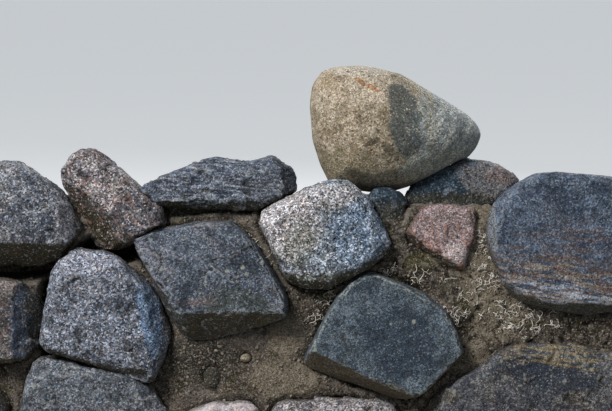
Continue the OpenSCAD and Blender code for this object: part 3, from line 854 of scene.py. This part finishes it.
two_toned = rock(
    "two toned granite", "#3c393c", "#7c7473", "#232225", "#b3a9a8", "#80665e", stained=0.4,
    grain=0.0034, contrast=0.9, coarse_share=0.06, seed=10.0,
    tints=[
        (-0.69, 0.6, 0.048, 0.12, 0, "#4f5d72", 0.8)])
salmon = rock(
    "salmon granite", "#645659", "#9e8b8e", "#3b3437", "#cdc2c2", "#a4735a", stained=0.40,
    grain=0.0032, contrast=0.8, edge="#b97f63", edged=0.6, seed=11.0,
    tints=[
        (0.35, 0.84, 0.09, 0.045, 0, "#a38f90", 0.5), (0.375, 0.77, 0.035, 0.03, 0, "#c4b8b9", 0.6)])
banded = rock(
    "banded gneiss", "#283142", "#6d7585", "#1c2027", "#a3a9b4", "#6c5f5c", stained=0.3,
    grain=0.0028, contrast=0.9, edged=0.3, seed=13.0,
    tints=[
        (-0.06, 0.96, 0.06, 0.055, 0, "#4f545e", 0.6),
        # the slab's underside band in dark brown: partly its own brown, partly painted shade
        (-0.25, 0.865, 0.14, 0.022, 0, "#3d382b", 0.8)],
    streaks=[
        (-0.23, 0.935, 0.16, 0.07, -4, 0.007, "#9fa5ae", 0.55),
        (-0.23, 0.925, 0.18, 0.08, -2, 0.011, "#232932", 0.6)])
blue_dark = rock(
    "dark blue rock", "#182733", "#394a59", "#151b22", "#76828f", "#4d4944", stained=0.12,
    grain=0.0032, contrast=1.0, edge="#878e99", edged=0.3, bump=0.7, seed=15.0,
    tints=[
        (0.47, 0.94, 0.09, 0.045, -12, "#6f6d70", 0.8),
        (0.5, 0.955, 0.05, 0.022, 0, "#8b7672", 0.5),
        (0.358, 0.912, 0.012, 0.007, 40, "#8d97a5", 0.7)])
dark_slab = rock(
    "dark slab", "#2e3949", "#5e6a7c", "#1c212b", "#868e9e", "#574d47", stained=0.3, grain=0.0030,
    contrast=0.8, edge="#8d9199", edged=0.6, edge_reach=1.7, lichen_share=0.04, bump=0.6, seed=16.0,
    tints=[
        # the first patch is a painted highlight along the slab's left rim, which faces the light
        (0.462, 0.8, 0.014, 0.15, 0, "#7d7e81", 0.6), (0.64, 0.7, 0.24, 0.07, -6, "#3e4550", 0.5)],
    streaks=[
        (0.64, 0.69, 0.26, 0.06, -7, 0.009, "#95887e", 0.7),
        (0.6, 0.72, 0.22, 0.07, -5, 0.014, "#604b40", 0.6),
        (0.64, 0.66, 0.24, 0.035, -7, 0.009, "#a4abba", 0.7),
        (0.68, 0.79, 0.15, 0.05, -6, 0.014, "#5f4b42", 0.45)])
olive_block = rock(
    "blue grey block", "#2f3742", "#666d7a", "#1d2128", "#949ca8", "#6c5e5a", stained=0.35,
    grain=0.0030, contrast=0.8, edge="#969ba2", edged=0.5, edge_reach=1.5, lichened=0.7,
    lichen_share=0.14, cracked=0.1, seed=18.0,
    tints=[
        (-0.385, 0.74, 0.018, 0.09, 22, "#767684", 0.6),
        (-0.27, 0.655, 0.055, 0.01, 0, "#77686a", 0.6),
        (-0.3, 0.645, 0.014, 0.02, 0, "#232932", 0.8),
        (-0.17, 0.64, 0.09, 0.05, -10, "#434a42", 0.5),
        (-0.205, 0.598, 0.11, 0.03, 4, "#57503c", 0.8)])
slate_green = rock(
    "dark flat rock", "#2f3943", "#5a656f", "#1c232a", "#78848f", "#4c504a", stained=0.35,
    grain=0.0028, contrast=0.75, sparks=0.03, edge="#a8aba3", edged=0.6, edge_reach=1.3,
    lichened=0.8, lichen_share=0.07, bump=0.6, soil_and_shade="#4f4534", specks=1.3, cracked=0.0, seed=17.0,
    tints=[
        (0.235, 0.555, 0.11, 0.08, -30, "#212d3b", 0.7),
        (0.14, 0.44, 0.15, 0.03, -14, "#504636", 0.6)])
brown_grey = rock(
    "brown grey rock", "#2c303a", "#636468", "#202023", "#98928c", "#5f5038", stained=0.45,
    grain=0.0030, contrast=0.9, edge="#a8a090", edged=0.5, seed=19.0,
    tints=[
        (0.6, 0.47, 0.12, 0.04, -12, "#28303e", 0.8)],
    streaks=[
        (0.64, 0.515, 0.16, 0.03, -6, 0.008, "#94825f", 0.6)])
pale_granite = rock(
    "pale granite", "#a8999d", "#d0c7cb", "#554e51", "#e2dcdf", "#a08c80", stained=0.2,
    contrast=0.3, specks=0.5, seed=21.0)
pink_grey = rock(
    "pink grey granite", dark="#4c4a4e", light="#a09a9d", quartz="#cbc6ca", stain="#846e66",
    stained=0.3, seed=22.0)
print("there are", len(bpy.data.materials), "materials so far")

# %% [markdown]
# ## Every stone its own skin
# A river boulder is smooth, split granite has crisp arrises and flat faces, and gneiss breaks along
# its bedding. The table says what each stone gets. Amounts are metres, and a list is shared out
# over the stones of a node in turn.

# %% The stones of the picture
def skin(rounding, undulation, lumps, steps, chips, net=FINE_NET, **more):
    return {
        "Rounding": rounding, "Undulation": undulation, "Lumps": lumps, "Steps": steps,
        "Chips": chips, "Net": net, "Flaked": False, **more}


SPLIT = skin(2, 0.005, 0.0055, 0.10, 0.006)
BROKEN = skin(2, 0.006, 0.0065, 0.12, 0.007)
ROUNDED = skin(4, 0.006, 0.0060, 0.07, 0.005)
RAGGED = skin(2, 0.005, 0.0055, 0.06, 0.013, FINEST_NET)
RIVER = skin(14, 0.004, 0.0015, 0.0, 0.0)
BEDDED = skin(2, 0.005, 0.0040, 0.10, 0.004, Ledges=0.0022)
FLAT = skin(2, 0.004, 0.0030, 0.0, 0.005)
VARIED = skin(
    [2, 4, 1, 3, 5, 1], [0.008, 0.012, 0.007], [0.0045, 0.0055, 0.0035],
    [0.12, 0.06, 0.15, 0.08], [0.004, 0.006, 0.003], COARSE_NET, Flaked=True,
    Tone=[0.0, 0.4, 0.8, 0.2, 0.6])
MIXED_ROCKS = [mica_grey, olive_block, dark_speckled, brown_grey, coarse_pink, banded, pink_grey]
STONES = [
    ("perched_boulder", RIVER, [river_buff], "buff_stone"),
    ("left_cope_boulder", ROUNDED, [mica_grey], "grey_granite"),
    ("leaning_cope_stone", BROKEN, [coarse_pink], "pink_granite"),
    ("banded_cope_slab", BEDDED, [banded], "dark_stone"),
    ("round_grey_boulder", ROUNDED, [light_grey], "grey_granite"),
    ("rear_cope_stone", SPLIT, [blue_dark], "dark_stone"),
    ("rear_wedge_stone", SPLIT, [blue_dark], "dark_stone"),
    ("pink_granite_stone", SPLIT, [salmon], "pink_granite"),
    ("big_dark_slab", FLAT, [dark_slab], "dark_stone"),
    ("undercut_dark_block", RAGGED, [olive_block], "dark_stone"),
    ("grey_granite_block", ROUNDED, [blue_grained], "grey_granite"),
    ("left_low_boulder", SPLIT, [two_toned], "grey_granite"),
    ("diamond_slab", {**FLAT, "Net": FINEST_NET}, [slate_green], "dark_stone"),
    ("lower_left_block", SPLIT, [dark_speckled], "grey_granite"),
    ("lower_left_boulder", ROUNDED, [brown_grey], "grey_granite"),
    ("low_pale_stone", ROUNDED, [pale_granite], "buff_stone"),
    ("low_granite_stone", SPLIT, [pink_grey], "grey_granite"),
    ("low_right_boulder", SPLIT, [brown_grey], "buff_stone"),
    ("buried_cobble", RIVER, [brown_grey], "buff_stone"),
    ("earth_pebbles", {**RIVER, "Net": PEBBLE_NET}, [river_buff, salmon], "buff_stone"),
]
COURSES = [
    ("left_run_stones", 1, "grey_granite"),
    ("right_run_stones", 2, "grey_granite"),
    ("front_foundation_stones", 3, "grey_granite"),
    ("back_foundation_stones", 4, "grey_granite"),
    ("back_second_course", 6, "grey_granite"),
    ("back_third_course", 1, "dark_stone"),
    ("back_cope_stones", 3, "grey_granite"),
    ("left_end_stones", 5, "grey_granite"),
    ("right_end_stones", 2, "grey_granite"),
    ("crest_cobbles", 0, "buff_stone"),
]
NODE_SEED_STEP = 10.0
for node, first, slot in COURSES:
    STONES.append((node, VARIED, MIXED_ROCKS[first:] + MIXED_ROCKS[:first], slot))


def hand_over(piece, node, slot):
    """Hangs a finished piece on the root and hides the imported part it stands for; slot is not
    used.
    """
    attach(piece, "root")
    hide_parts(node)
    print(piece.name, triangles(piece), "triangles")


for number, (node, look, rocks, slot) in enumerate(STONES):
    hand_over(dress(node, {**look, "Seed": NODE_SEED_STEP * number}, rocks), node, slot)

# %% [markdown]
# ## The packed earth
# Earth and crumbled stone fill the middle of the wall and the joints of the face. It starts as the
# plain prism between the faces, remeshed like the stones. It is then pushed in where rain has washed
# the joints open, out where it lies flush, and back a little beside every stone, where it has dried
# and shrunk. Its own tree gives it clods and crumbs.

# %% The earth's shape
EARTH_NET = 0.008
OPEN_JOINTS = [
    (-0.765, 0.728, 0.15, 0.028), (-0.655, 0.6, 0.018, 0.09), (-0.5, 0.772, 0.07, 0.03),
]
FIBRE_BEDS = [
    (0.455, 0.76, 0.04, 0.09, 1), (0.49, 0.66, 0.065, 0.07, 1), (0.56, 0.59, 0.09, 0.045, 1),
    (0.39, 0.64, 0.07, 0.07, 0.6), (0.24, 0.7, 0.07, 0.05, 0.8), (0.04, 0.62, 0.04, 0.07, 0.8),
    (-0.11, 0.77, 0.03, 0.09, 0.6),
]
SET_SHARE = 0.62
SET_STONES = [(-0.1525, 0.505, 0.018), (-0.235, 0.455, 0.035), (0.4025, 0.565, 0.016)]
WASHED_DEPTH = 0.105
FLUSH_DEPTH = 0.022
FLUSH_FROM = -0.42
FRONT_BAND = (0.15, 0.22)
CREST_BAND = (-0.01, 0.04)
FOOT_BAND = (0.015, 0.030)
SNUG_BAND = (0.22, 0.36)
ROUGH_BAND = (-0.10, 0.12)
SMOOTHEST = 0.35
SHRUNK_DEPTH = 0.015
SHRUNK_REACH = 0.009
SNUG = 0.6


def earth_mesh():
    outline = earth_outline()
    body = bmesh.new()
    rings = [[body.verts.new((x, y, z)) for y, z in outline] for x in (-ends, ends)]
    body.faces.new(reversed(rings[0]))
    body.faces.new(rings[1])
    for i in range(len(outline)):
        j = (i + 1) % len(outline)
        body.faces.new((rings[0][i], rings[0][j], rings[1][j], rings[1][i]))
    bmesh.ops.recalc_face_normals(body, faces=body.faces)
    mesh = bpy.data.meshes.new("earth")
    body.to_mesh(mesh)
    body.free()
    return mesh


def stone_tree():
    """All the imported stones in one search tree."""
    points = []
    faces = []
    for node, *_ in STONES:
        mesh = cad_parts[node].data
        start = len(points)
        points.extend(v.co.copy() for v in mesh.vertices)
        faces.extend([start + i for i in p.vertices] for p in mesh.polygons)
    return BVHTree.FromPolygons(points, faces)


def rise(x, low, high):
    t = np.clip((x - low) / (high - low), 0, 1)
    return t * t * (3 - 2 * t)


earth = place("earth_core.earth", earth_mesh())
remesh(earth, EARTH_NET)
settle(earth)
print("the earth's prism has", triangles(earth), "triangles")

# %% Where rain and drying have shaped it
stones_near = stone_tree()
points = coordinates(earth.data)
gap = np.empty(len(points))
for index, point in enumerate(points):
    spot, facing, _, distance = stones_near.find_nearest(Vector(point))
    inside = facing.dot(Vector(point) - spot) < 0
    gap[index] = -distance if inside else distance

along = points[:, 0]
up = points[:, 2] / math.cos(BATTER)
front = rise(-points[:, 1], *FRONT_BAND) * rise(FRONT_HEIGHT - CREST_DROP - up, *CREST_BAND)


def away_from(x, y, long=1.0, wide=1.0):
    """How far each point lies from a place on the face, in reaches along and up."""
    return np.hypot((along - x) / long, (up - y) / wide)


flush = rise(along, FLUSH_FROM, FLUSH_FROM + 0.2) * FLUSH_DEPTH
for x, y, size in SET_STONES:
    flush *= SET_SHARE + (1 - SET_SHARE) * rise(away_from(x, y), size, size + 0.05)
washed = np.zeros(len(points))
for joint in OPEN_JOINTS:
    washed = np.maximum(washed, 1 - rise(away_from(*joint), 0.8, 1.5))
push = front * (flush * (1 - washed) - WASHED_DEPTH * washed)
shrunk = SHRUNK_DEPTH * np.exp(-np.maximum(gap, 0) / SHRUNK_REACH) * (1 - washed)
shrunk *= 1 - SNUG * rise(along, *SNUG_BAND) * front
normals = np.empty(len(points) * 3)
earth.data.vertices.foreach_get("normal", normals)
points += normals.reshape(-1, 3) * (push - shrunk * (points[:, 2] > 0.02))[:, None]
earth.data.vertices.foreach_set("co", points.ravel())
open_earth = front * rise(gap, 0.0, 0.006) * (1 - washed) * rise(points[:, 2], *FOOT_BAND)
fibrous = np.zeros(len(points))
for *bed, amount in FIBRE_BEDS:
    fibrous = np.maximum(fibrous, amount * (1 - rise(away_from(*bed), 0.5, 1.1)))
keep_values(earth, "bare", open_earth)
keep_values(earth, "rough", SMOOTHEST + (1 - SMOOTHEST) * rise(along, *ROUGH_BAND))
keep_values(earth, "fibrous", open_earth * fibrous)
print("the earth is washed out at", int(washed.astype(bool).sum()), "points")

# %% The earth's clods
CLOD_INPUTS = {"Heave": 0.010, "Clods": 0.020, "Crumbs": 0.009, "Net": 0.008, "Material": None}


def clod_tree():
    g, wires = new_tree("crumbled earth", CLOD_INPUTS)
    place = here(g)
    rough = known(g, "rough")
    heave = g.swing(place, 0.16, 3.0, 0.55, 1.0) * wires["Heave"]
    clods = g.swing(place, 0.050, 5.0, 0.66, 4.0, 0.6) * wires["Clods"] * rough
    crumbs = g.swing(place, 0.016, 4.0, 0.65, 9.0) * wires["Crumbs"] * rough
    above = g.ramp(g.part(place, "Z"), 0.004, 0.03)
    heaved = moved_out(g, wires["Geometry"], (heave + clods + crumbs) * above)
    return close_tree(g, wires, finished_skin(g, wires, heaved))


crumbling = clod_tree()
print("the crumbling tree has", len(crumbling.nodes), "nodes")

# %% The earth's colours
EARTH_GRAIN = 0.0022
EARTH_RELIEF = 0.011
COVERED_FROM = 0.008
COVERED_BY = 0.01
FOOT_HEIGHT = 0.004
MOSSY = [
    (0.285, 0.745, 0.05, 0.022), (0.05, 0.65, 0.02, 0.02), (0.2, 0.7, 0.035, 0.012),
    (0.43, 0.64, 0.06, 0.03), (0.56, 0.59, 0.05, 0.01), (-0.26, 0.46, 0.012, 0.03),
]
# Pale patches: real dust, and painted light on the two patches at -0.05 and 0.39 along, where the
# earth lies in shadow
DUST_AND_PAINTED_LIGHT = [
    (0.44, 0.79, 0.05, 0.13), (0.44, 0.69, 0.06, 0.05), (0.48, 0.6, 0.07, 0.055),
    (-0.05, 0.56, 0.05, 0.05), (-0.06, 0.45, 0.08, 0.05), (0.39, 0.51, 0.07, 0.045),
]
SHADY = [
    (-0.265, 0.5, 0.09, 0.07), (-0.085, 0.76, 0.035, 0.1), (-0.25, 0.858, 0.12, 0.01),
    (0.25, 0.82, 0.03, 0.06),
]


def patch_masks(g, where, patches):
    return [patch_mask(g, where, (x, y), (long, wide), 0.0, x * 9)
            for x, y, long, wide in patches]


def dry_earth():
    material, g, where = new_matter("dry packed earth")
    proud = kept(g, "proud")
    cloud = g.noise(where, 0.12, 4.0, 0.6, 1.0)
    clod = g.noise(where, 0.022, 5.0, 0.68, 6.0)
    dust = g.noise(where, 0.0045, 3.0, 0.65, 8.0)
    colour = g.mix(g.ramp(clod, 0.38, 0.60), paint("#352e26"), paint("#665c52"))
    colour = g.over(colour, g.ramp(cloud, 0.48, 0.60) * 0.5, "#857a72")
    colour = g.over(colour, g.ramp(cloud, 0.48, 0.38) * 0.6, "#2b261c")
    moss = g.ramp(g.noise(where, 0.05, 5.0, 0.65, 12.0), 0.56, 0.66)
    for mask in patch_masks(g, where, MOSSY):
        moss = moss.most(mask)
    colour = g.over(colour, moss * 0.65, "#4b4a20")
    # pale patches are partly dust and partly painted light, and the dark ones are painted shade
    for patches, amount, tint in ((DUST_AND_PAINTED_LIGHT, 0.7, "#978b78"), (SHADY, 0.6, "#353530")):
        for mask in patch_masks(g, where, patches):
            colour = g.over(colour, mask * amount, tint)
    colour = g.over(colour, g.ramp(dust, 0.52, 0.62) * 0.7, "#a69c92")
    colour = g.over(colour, g.ramp(dust, 0.46, 0.36) * 0.7, "#1f1b14")
    bit = g.cells(where, 1 / EARTH_GRAIN)
    colour = g.scaled(colour, g.part(bit, "X") * 0.9 + 0.55)
    # painted shade: the earth's hollows go nearly black, and its proud crumbs are made paler
    colour = g.over(colour, g.ramp(proud, -0.4, -3.0) * 0.85, "#14110c")
    colour = g.over(colour, g.ramp(proud, 0.6, 3.0) * 0.4, "#a39a8f")
    height = clod * 1.4 + dust * 0.8 + g.part(bit, "Y") * 0.25
    return finish_matter(material, g, {
        "Base Color": colour, "Roughness": 0.95, "Specular IOR Level": 0.2,
        "Normal": rough_light(g, height, 1.0, EARTH_RELIEF)})


earth_matter = dry_earth()
use_tree(earth, crumbling, {"Material": earth_matter, "Net": net_size(EARTH_NET)})
settle(earth)
covered = np.clip((-gap - COVERED_FROM) / COVERED_BY, 0, 1)
covered = np.maximum(covered, (points[:, 2] < FOOT_HEIGHT).astype(float))
print(earth.name, triangles(earth), "triangles before its hidden part is thinned")

# %% [markdown]
# ## Grit and fibres
# Rain leaves grit on the face of the earth, and dry fibres hang out of it between the stones. Both
# are strewn over the bare earth by Geometry Nodes: the grit as small crooked stones, the fibres as
# thin curled tubes that lie along the face.

# %% A tree that strews grit
GRIT_INPUTS = {
    "Density": 5000.0, "Smallest": 0.0014, "Largest": 0.0060, "Seed": 3, "Material": None}
GRIT_SHAPES = ((0.7, 0.6, 0.5), (1.3, 1.1, 0.9))
FULL_TURN = 6.283


def chance(g, kind, low, high, seed):
    """A random value of some kind for each instance."""
    return g.add(
        "FunctionNodeRandomValue", {"data_type": kind}, {"Min": low, "Max": high, "Seed": seed})


def strewn(g, wires, density, name):
    """Points strewn over the part of the surface where the named attribute is high."""
    return g.add(
        "GeometryNodeDistributePointsOnFaces", {"distribute_method": "RANDOM"},
        {"Mesh": wires["Geometry"], "Density": known(g, name) * density,
         "Seed": wires["Seed"]})


def grit_tree():
    g, wires = new_tree("strewn grit", GRIT_INPUTS)
    points = strewn(g, wires, wires["Density"], "bare")
    pebble = g.add("GeometryNodeMeshIcoSphere", None, {"Radius": 1.0, "Subdivisions": 1})
    size = chance(g, "FLOAT", 0.0, 1.0, 4)
    length = wires["Smallest"] + size * size * size * (wires["Largest"] - wires["Smallest"])
    shape = chance(g, "FLOAT_VECTOR", *GRIT_SHAPES, 5)
    scale = g.scaled(shape, length)
    turn = chance(g, "FLOAT_VECTOR", (0.0, 0.0, 0.0), (FULL_TURN,) * 3, 6)
    strewed = g.add(
        "GeometryNodeInstanceOnPoints", None,
        {"Points": points, "Instance": pebble, "Rotation": turn, "Scale": scale})
    real = g.add("GeometryNodeRealizeInstances", None, {"Geometry": strewed})
    return close_tree(g, wires, real)


gritty = grit_tree()
print("the grit tree has", len(gritty.nodes), "nodes")

# %% A tree that hangs out fibres
FIBRE_INPUTS = {"Density": 13000.0, "Thickness": 0.0007, "Curl": 0.9, "Seed": 8, "Material": None}
CURLS = 7
CURL_SEED_STEP = 2.7
CURL_SCALE = 3.2
FIBRE_JOINTS = 14
FIBRE_SIDES = 4
FIBRE_LENGTHS = (0.012, 0.034)
FIBRE_TURNS = ((1.45, -3.14, -0.2), (1.75, 3.14, 0.2))
TUFT_LENGTH = 0.030


def fibre_tree():
    g, wires = new_tree("curled fibres", FIBRE_INPUTS)
    place = here(g)
    tufts = g.ramp(g.noise(place, TUFT_LENGTH, 2.0, 0.5, 5.0), 0.42, 0.62)
    points = strewn(g, wires, wires["Density"] * tufts, "fibrous")
    spine = g.add(
        "GeometryNodeCurvePrimitiveLine", {"mode": "POINTS"},
        {"Start": (-0.5, 0.0, 0.0), "End": (0.5, 0.0, 0.0)})
    spine = g.add("GeometryNodeResampleCurve", None, {"Curve": spine, "Count": FIBRE_JOINTS})
    bundle = g.tree.nodes.new("GeometryNodeGeometryToInstance")
    for number in range(CURLS):
        sway = g.add(
            "ShaderNodeTexNoise", {"noise_dimensions": "4D"},
            {"Vector": place, "W": CURL_SEED_STEP * number, "Scale": CURL_SCALE, "Detail": 0.0},
            "Color")
        away = g.vector("SUBTRACT", sway, (0.5, 0.5, 0.5))
        curled = put(g, spine, Offset=g.scaled(away, wires["Curl"] * 2))
        g.tree.links.new(curled.socket, bundle.inputs[0])
    turn = chance(g, "FLOAT_VECTOR", *FIBRE_TURNS, 5)
    length = chance(g, "FLOAT", *FIBRE_LENGTHS, 6)
    pick = chance(g, "INT", 0, CURLS - 1, 7)
    strewed = g.add(
        "GeometryNodeInstanceOnPoints", None,
        {"Points": points, "Instance": Wire(g, bundle.outputs[0]), "Pick Instance": True,
         "Instance Index": pick, "Rotation": turn, "Scale": length})
    real = g.add("GeometryNodeRealizeInstances", None, {"Geometry": strewed})
    ring = g.add(
        "GeometryNodeCurvePrimitiveCircle", None,
        {"Resolution": FIBRE_SIDES, "Radius": wires["Thickness"]})
    tubes = g.add(
        "GeometryNodeCurveToMesh", None, {"Curve": real, "Profile Curve": ring, "Fill Caps": True})
    whole = g.add("GeometryNodeRealizeInstances", None, {"Geometry": tubes})
    return close_tree(g, wires, whole)


fibrous_tree = fibre_tree()
print("the fibre tree has", len(fibrous_tree.nodes), "nodes")


# %% Strewing the earth's face
def strewn_matter(name, dark, light, size):
    """A matter whose every bit has a tone of its own."""
    material, g, where = new_matter(name)
    colour = g.mix(g.part(g.cells(where, 1 / size), "X"), paint(dark), paint(light))
    return finish_matter(material, g, {"Base Color": colour, "Roughness": 0.9})


def strew(name, tree, matter):
    """What a tree strews over the earth, as a piece of its own."""
    piece = place(name, earth.data.copy())
    use_tree(piece, tree, {"Material": matter})
    return settle(piece)


grit_matter = strewn_matter("grit", "#443c33", "#988e83", 0.004)
fibre_matter = strewn_matter("dry fibres", "#b5aca2", "#fbf7f0", 0.008)
grit = strew("earth_core.grit", gritty, grit_matter)
fibres = strew("earth_core.fibres", fibrous_tree, fibre_matter)
thin_hidden(earth, covered)
for piece in (earth, grit, fibres):
    hand_over(piece, "earth_core", "packed_earth")

# %% [markdown]
# ## Light and floor
# The day was bright but hazy, with the light from the upper left. One big soft lamp and an even sky
# do the same, and a weaker lamp lights the back for whoever walks round. The floor looks pale to the
# camera, and darker to the light that it sends back up, as turf would be, so that the undersides of
# the stones stay dark.

# %% The floor, the sky and the lamps
PAPER = (0.80, 0.81, 0.82, 1.0)
TURF_GREY = (0.16, 0.16, 0.15, 1.0)
BLACK = (0.0, 0.0, 0.0, 1.0)
FLOOR_HALF = 40.0
SKY_TINT = (0.82, 0.92, 1.0, 1.0)
SKY_SEEN = (1.88, 1.90, 1.93, 1.0)
FLOOR_GLOW = 0.42
LAMP_SIZE = 2.1
LAMP_TINT = (1.0, 0.985, 0.95)
KEY_PLACE = (-3.6, -4.0, 5.6)
KEY_WATTS = 560.0
FILL_PLACE = (2.8, 5.2, 3.4)
FILL_WATTS = 230.0
SKY_STRENGTH = 0.29


def seen_or_not(g, seen, unseen):
    """One colour to the camera, in gloss and through glass, and another to all other light."""
    rays = g.tree.nodes.new("ShaderNodeLightPath")
    camera_ray, glossy, through = (
        Wire(g, rays.outputs[name])
        for name in ("Is Camera Ray", "Is Glossy Ray", "Is Transmission Ray"))
    return g.mix(camera_ray.most(glossy).most(through), unseen, seen)


floor_mesh = bmesh.new()
bmesh.ops.create_grid(floor_mesh, x_segments=1, y_segments=1, size=FLOOR_HALF)
floor = place("floor", bpy.data.meshes.new("floor"))
floor_mesh.to_mesh(floor.data)
floor_mesh.free()
floor_matter, paper, _ = new_matter("pale floor")
floor.data.materials.append(finish_matter(floor_matter, paper, {
    "Base Color": seen_or_not(paper, PAPER, TURF_GREY), "Roughness": 0.9,
    "Emission Color": seen_or_not(paper, PAPER, BLACK), "Emission Strength": FLOOR_GLOW}))

world = bpy.data.worlds.new("hazy sky")
world.use_nodes = True
world.node_tree.nodes.clear()
sky = Graph(world.node_tree)
sky_light = sky.add(
    "ShaderNodeBackground", None,
    {"Color": seen_or_not(sky, SKY_SEEN, SKY_TINT), "Strength": SKY_STRENGTH})
sky_out = world.node_tree.nodes.new("ShaderNodeOutputWorld")
world.node_tree.links.new(sky_light.socket, sky_out.inputs["Surface"])
bpy.context.scene.world = world


def lamp(name, where, at, watts):
    """A square soft lamp that shines at a point."""
    lit = bpy.data.objects.new(name, bpy.data.lights.new(name, "AREA"))
    lit.data.size = LAMP_SIZE
    lit.data.energy = watts
    lit.data.color = LAMP_TINT
    lit.location = where
    lit.rotation_euler = (at - lit.location).to_track_quat("-Z", "Y").to_euler()
    bpy.context.collection.objects.link(lit)
    print(name, "lamp of", watts, "watts")


lamp("key", KEY_PLACE, on_front(0.0, 0.6), KEY_WATTS)
lamp("fill", FILL_PLACE, on_back(0.0, 0.5), FILL_WATTS)
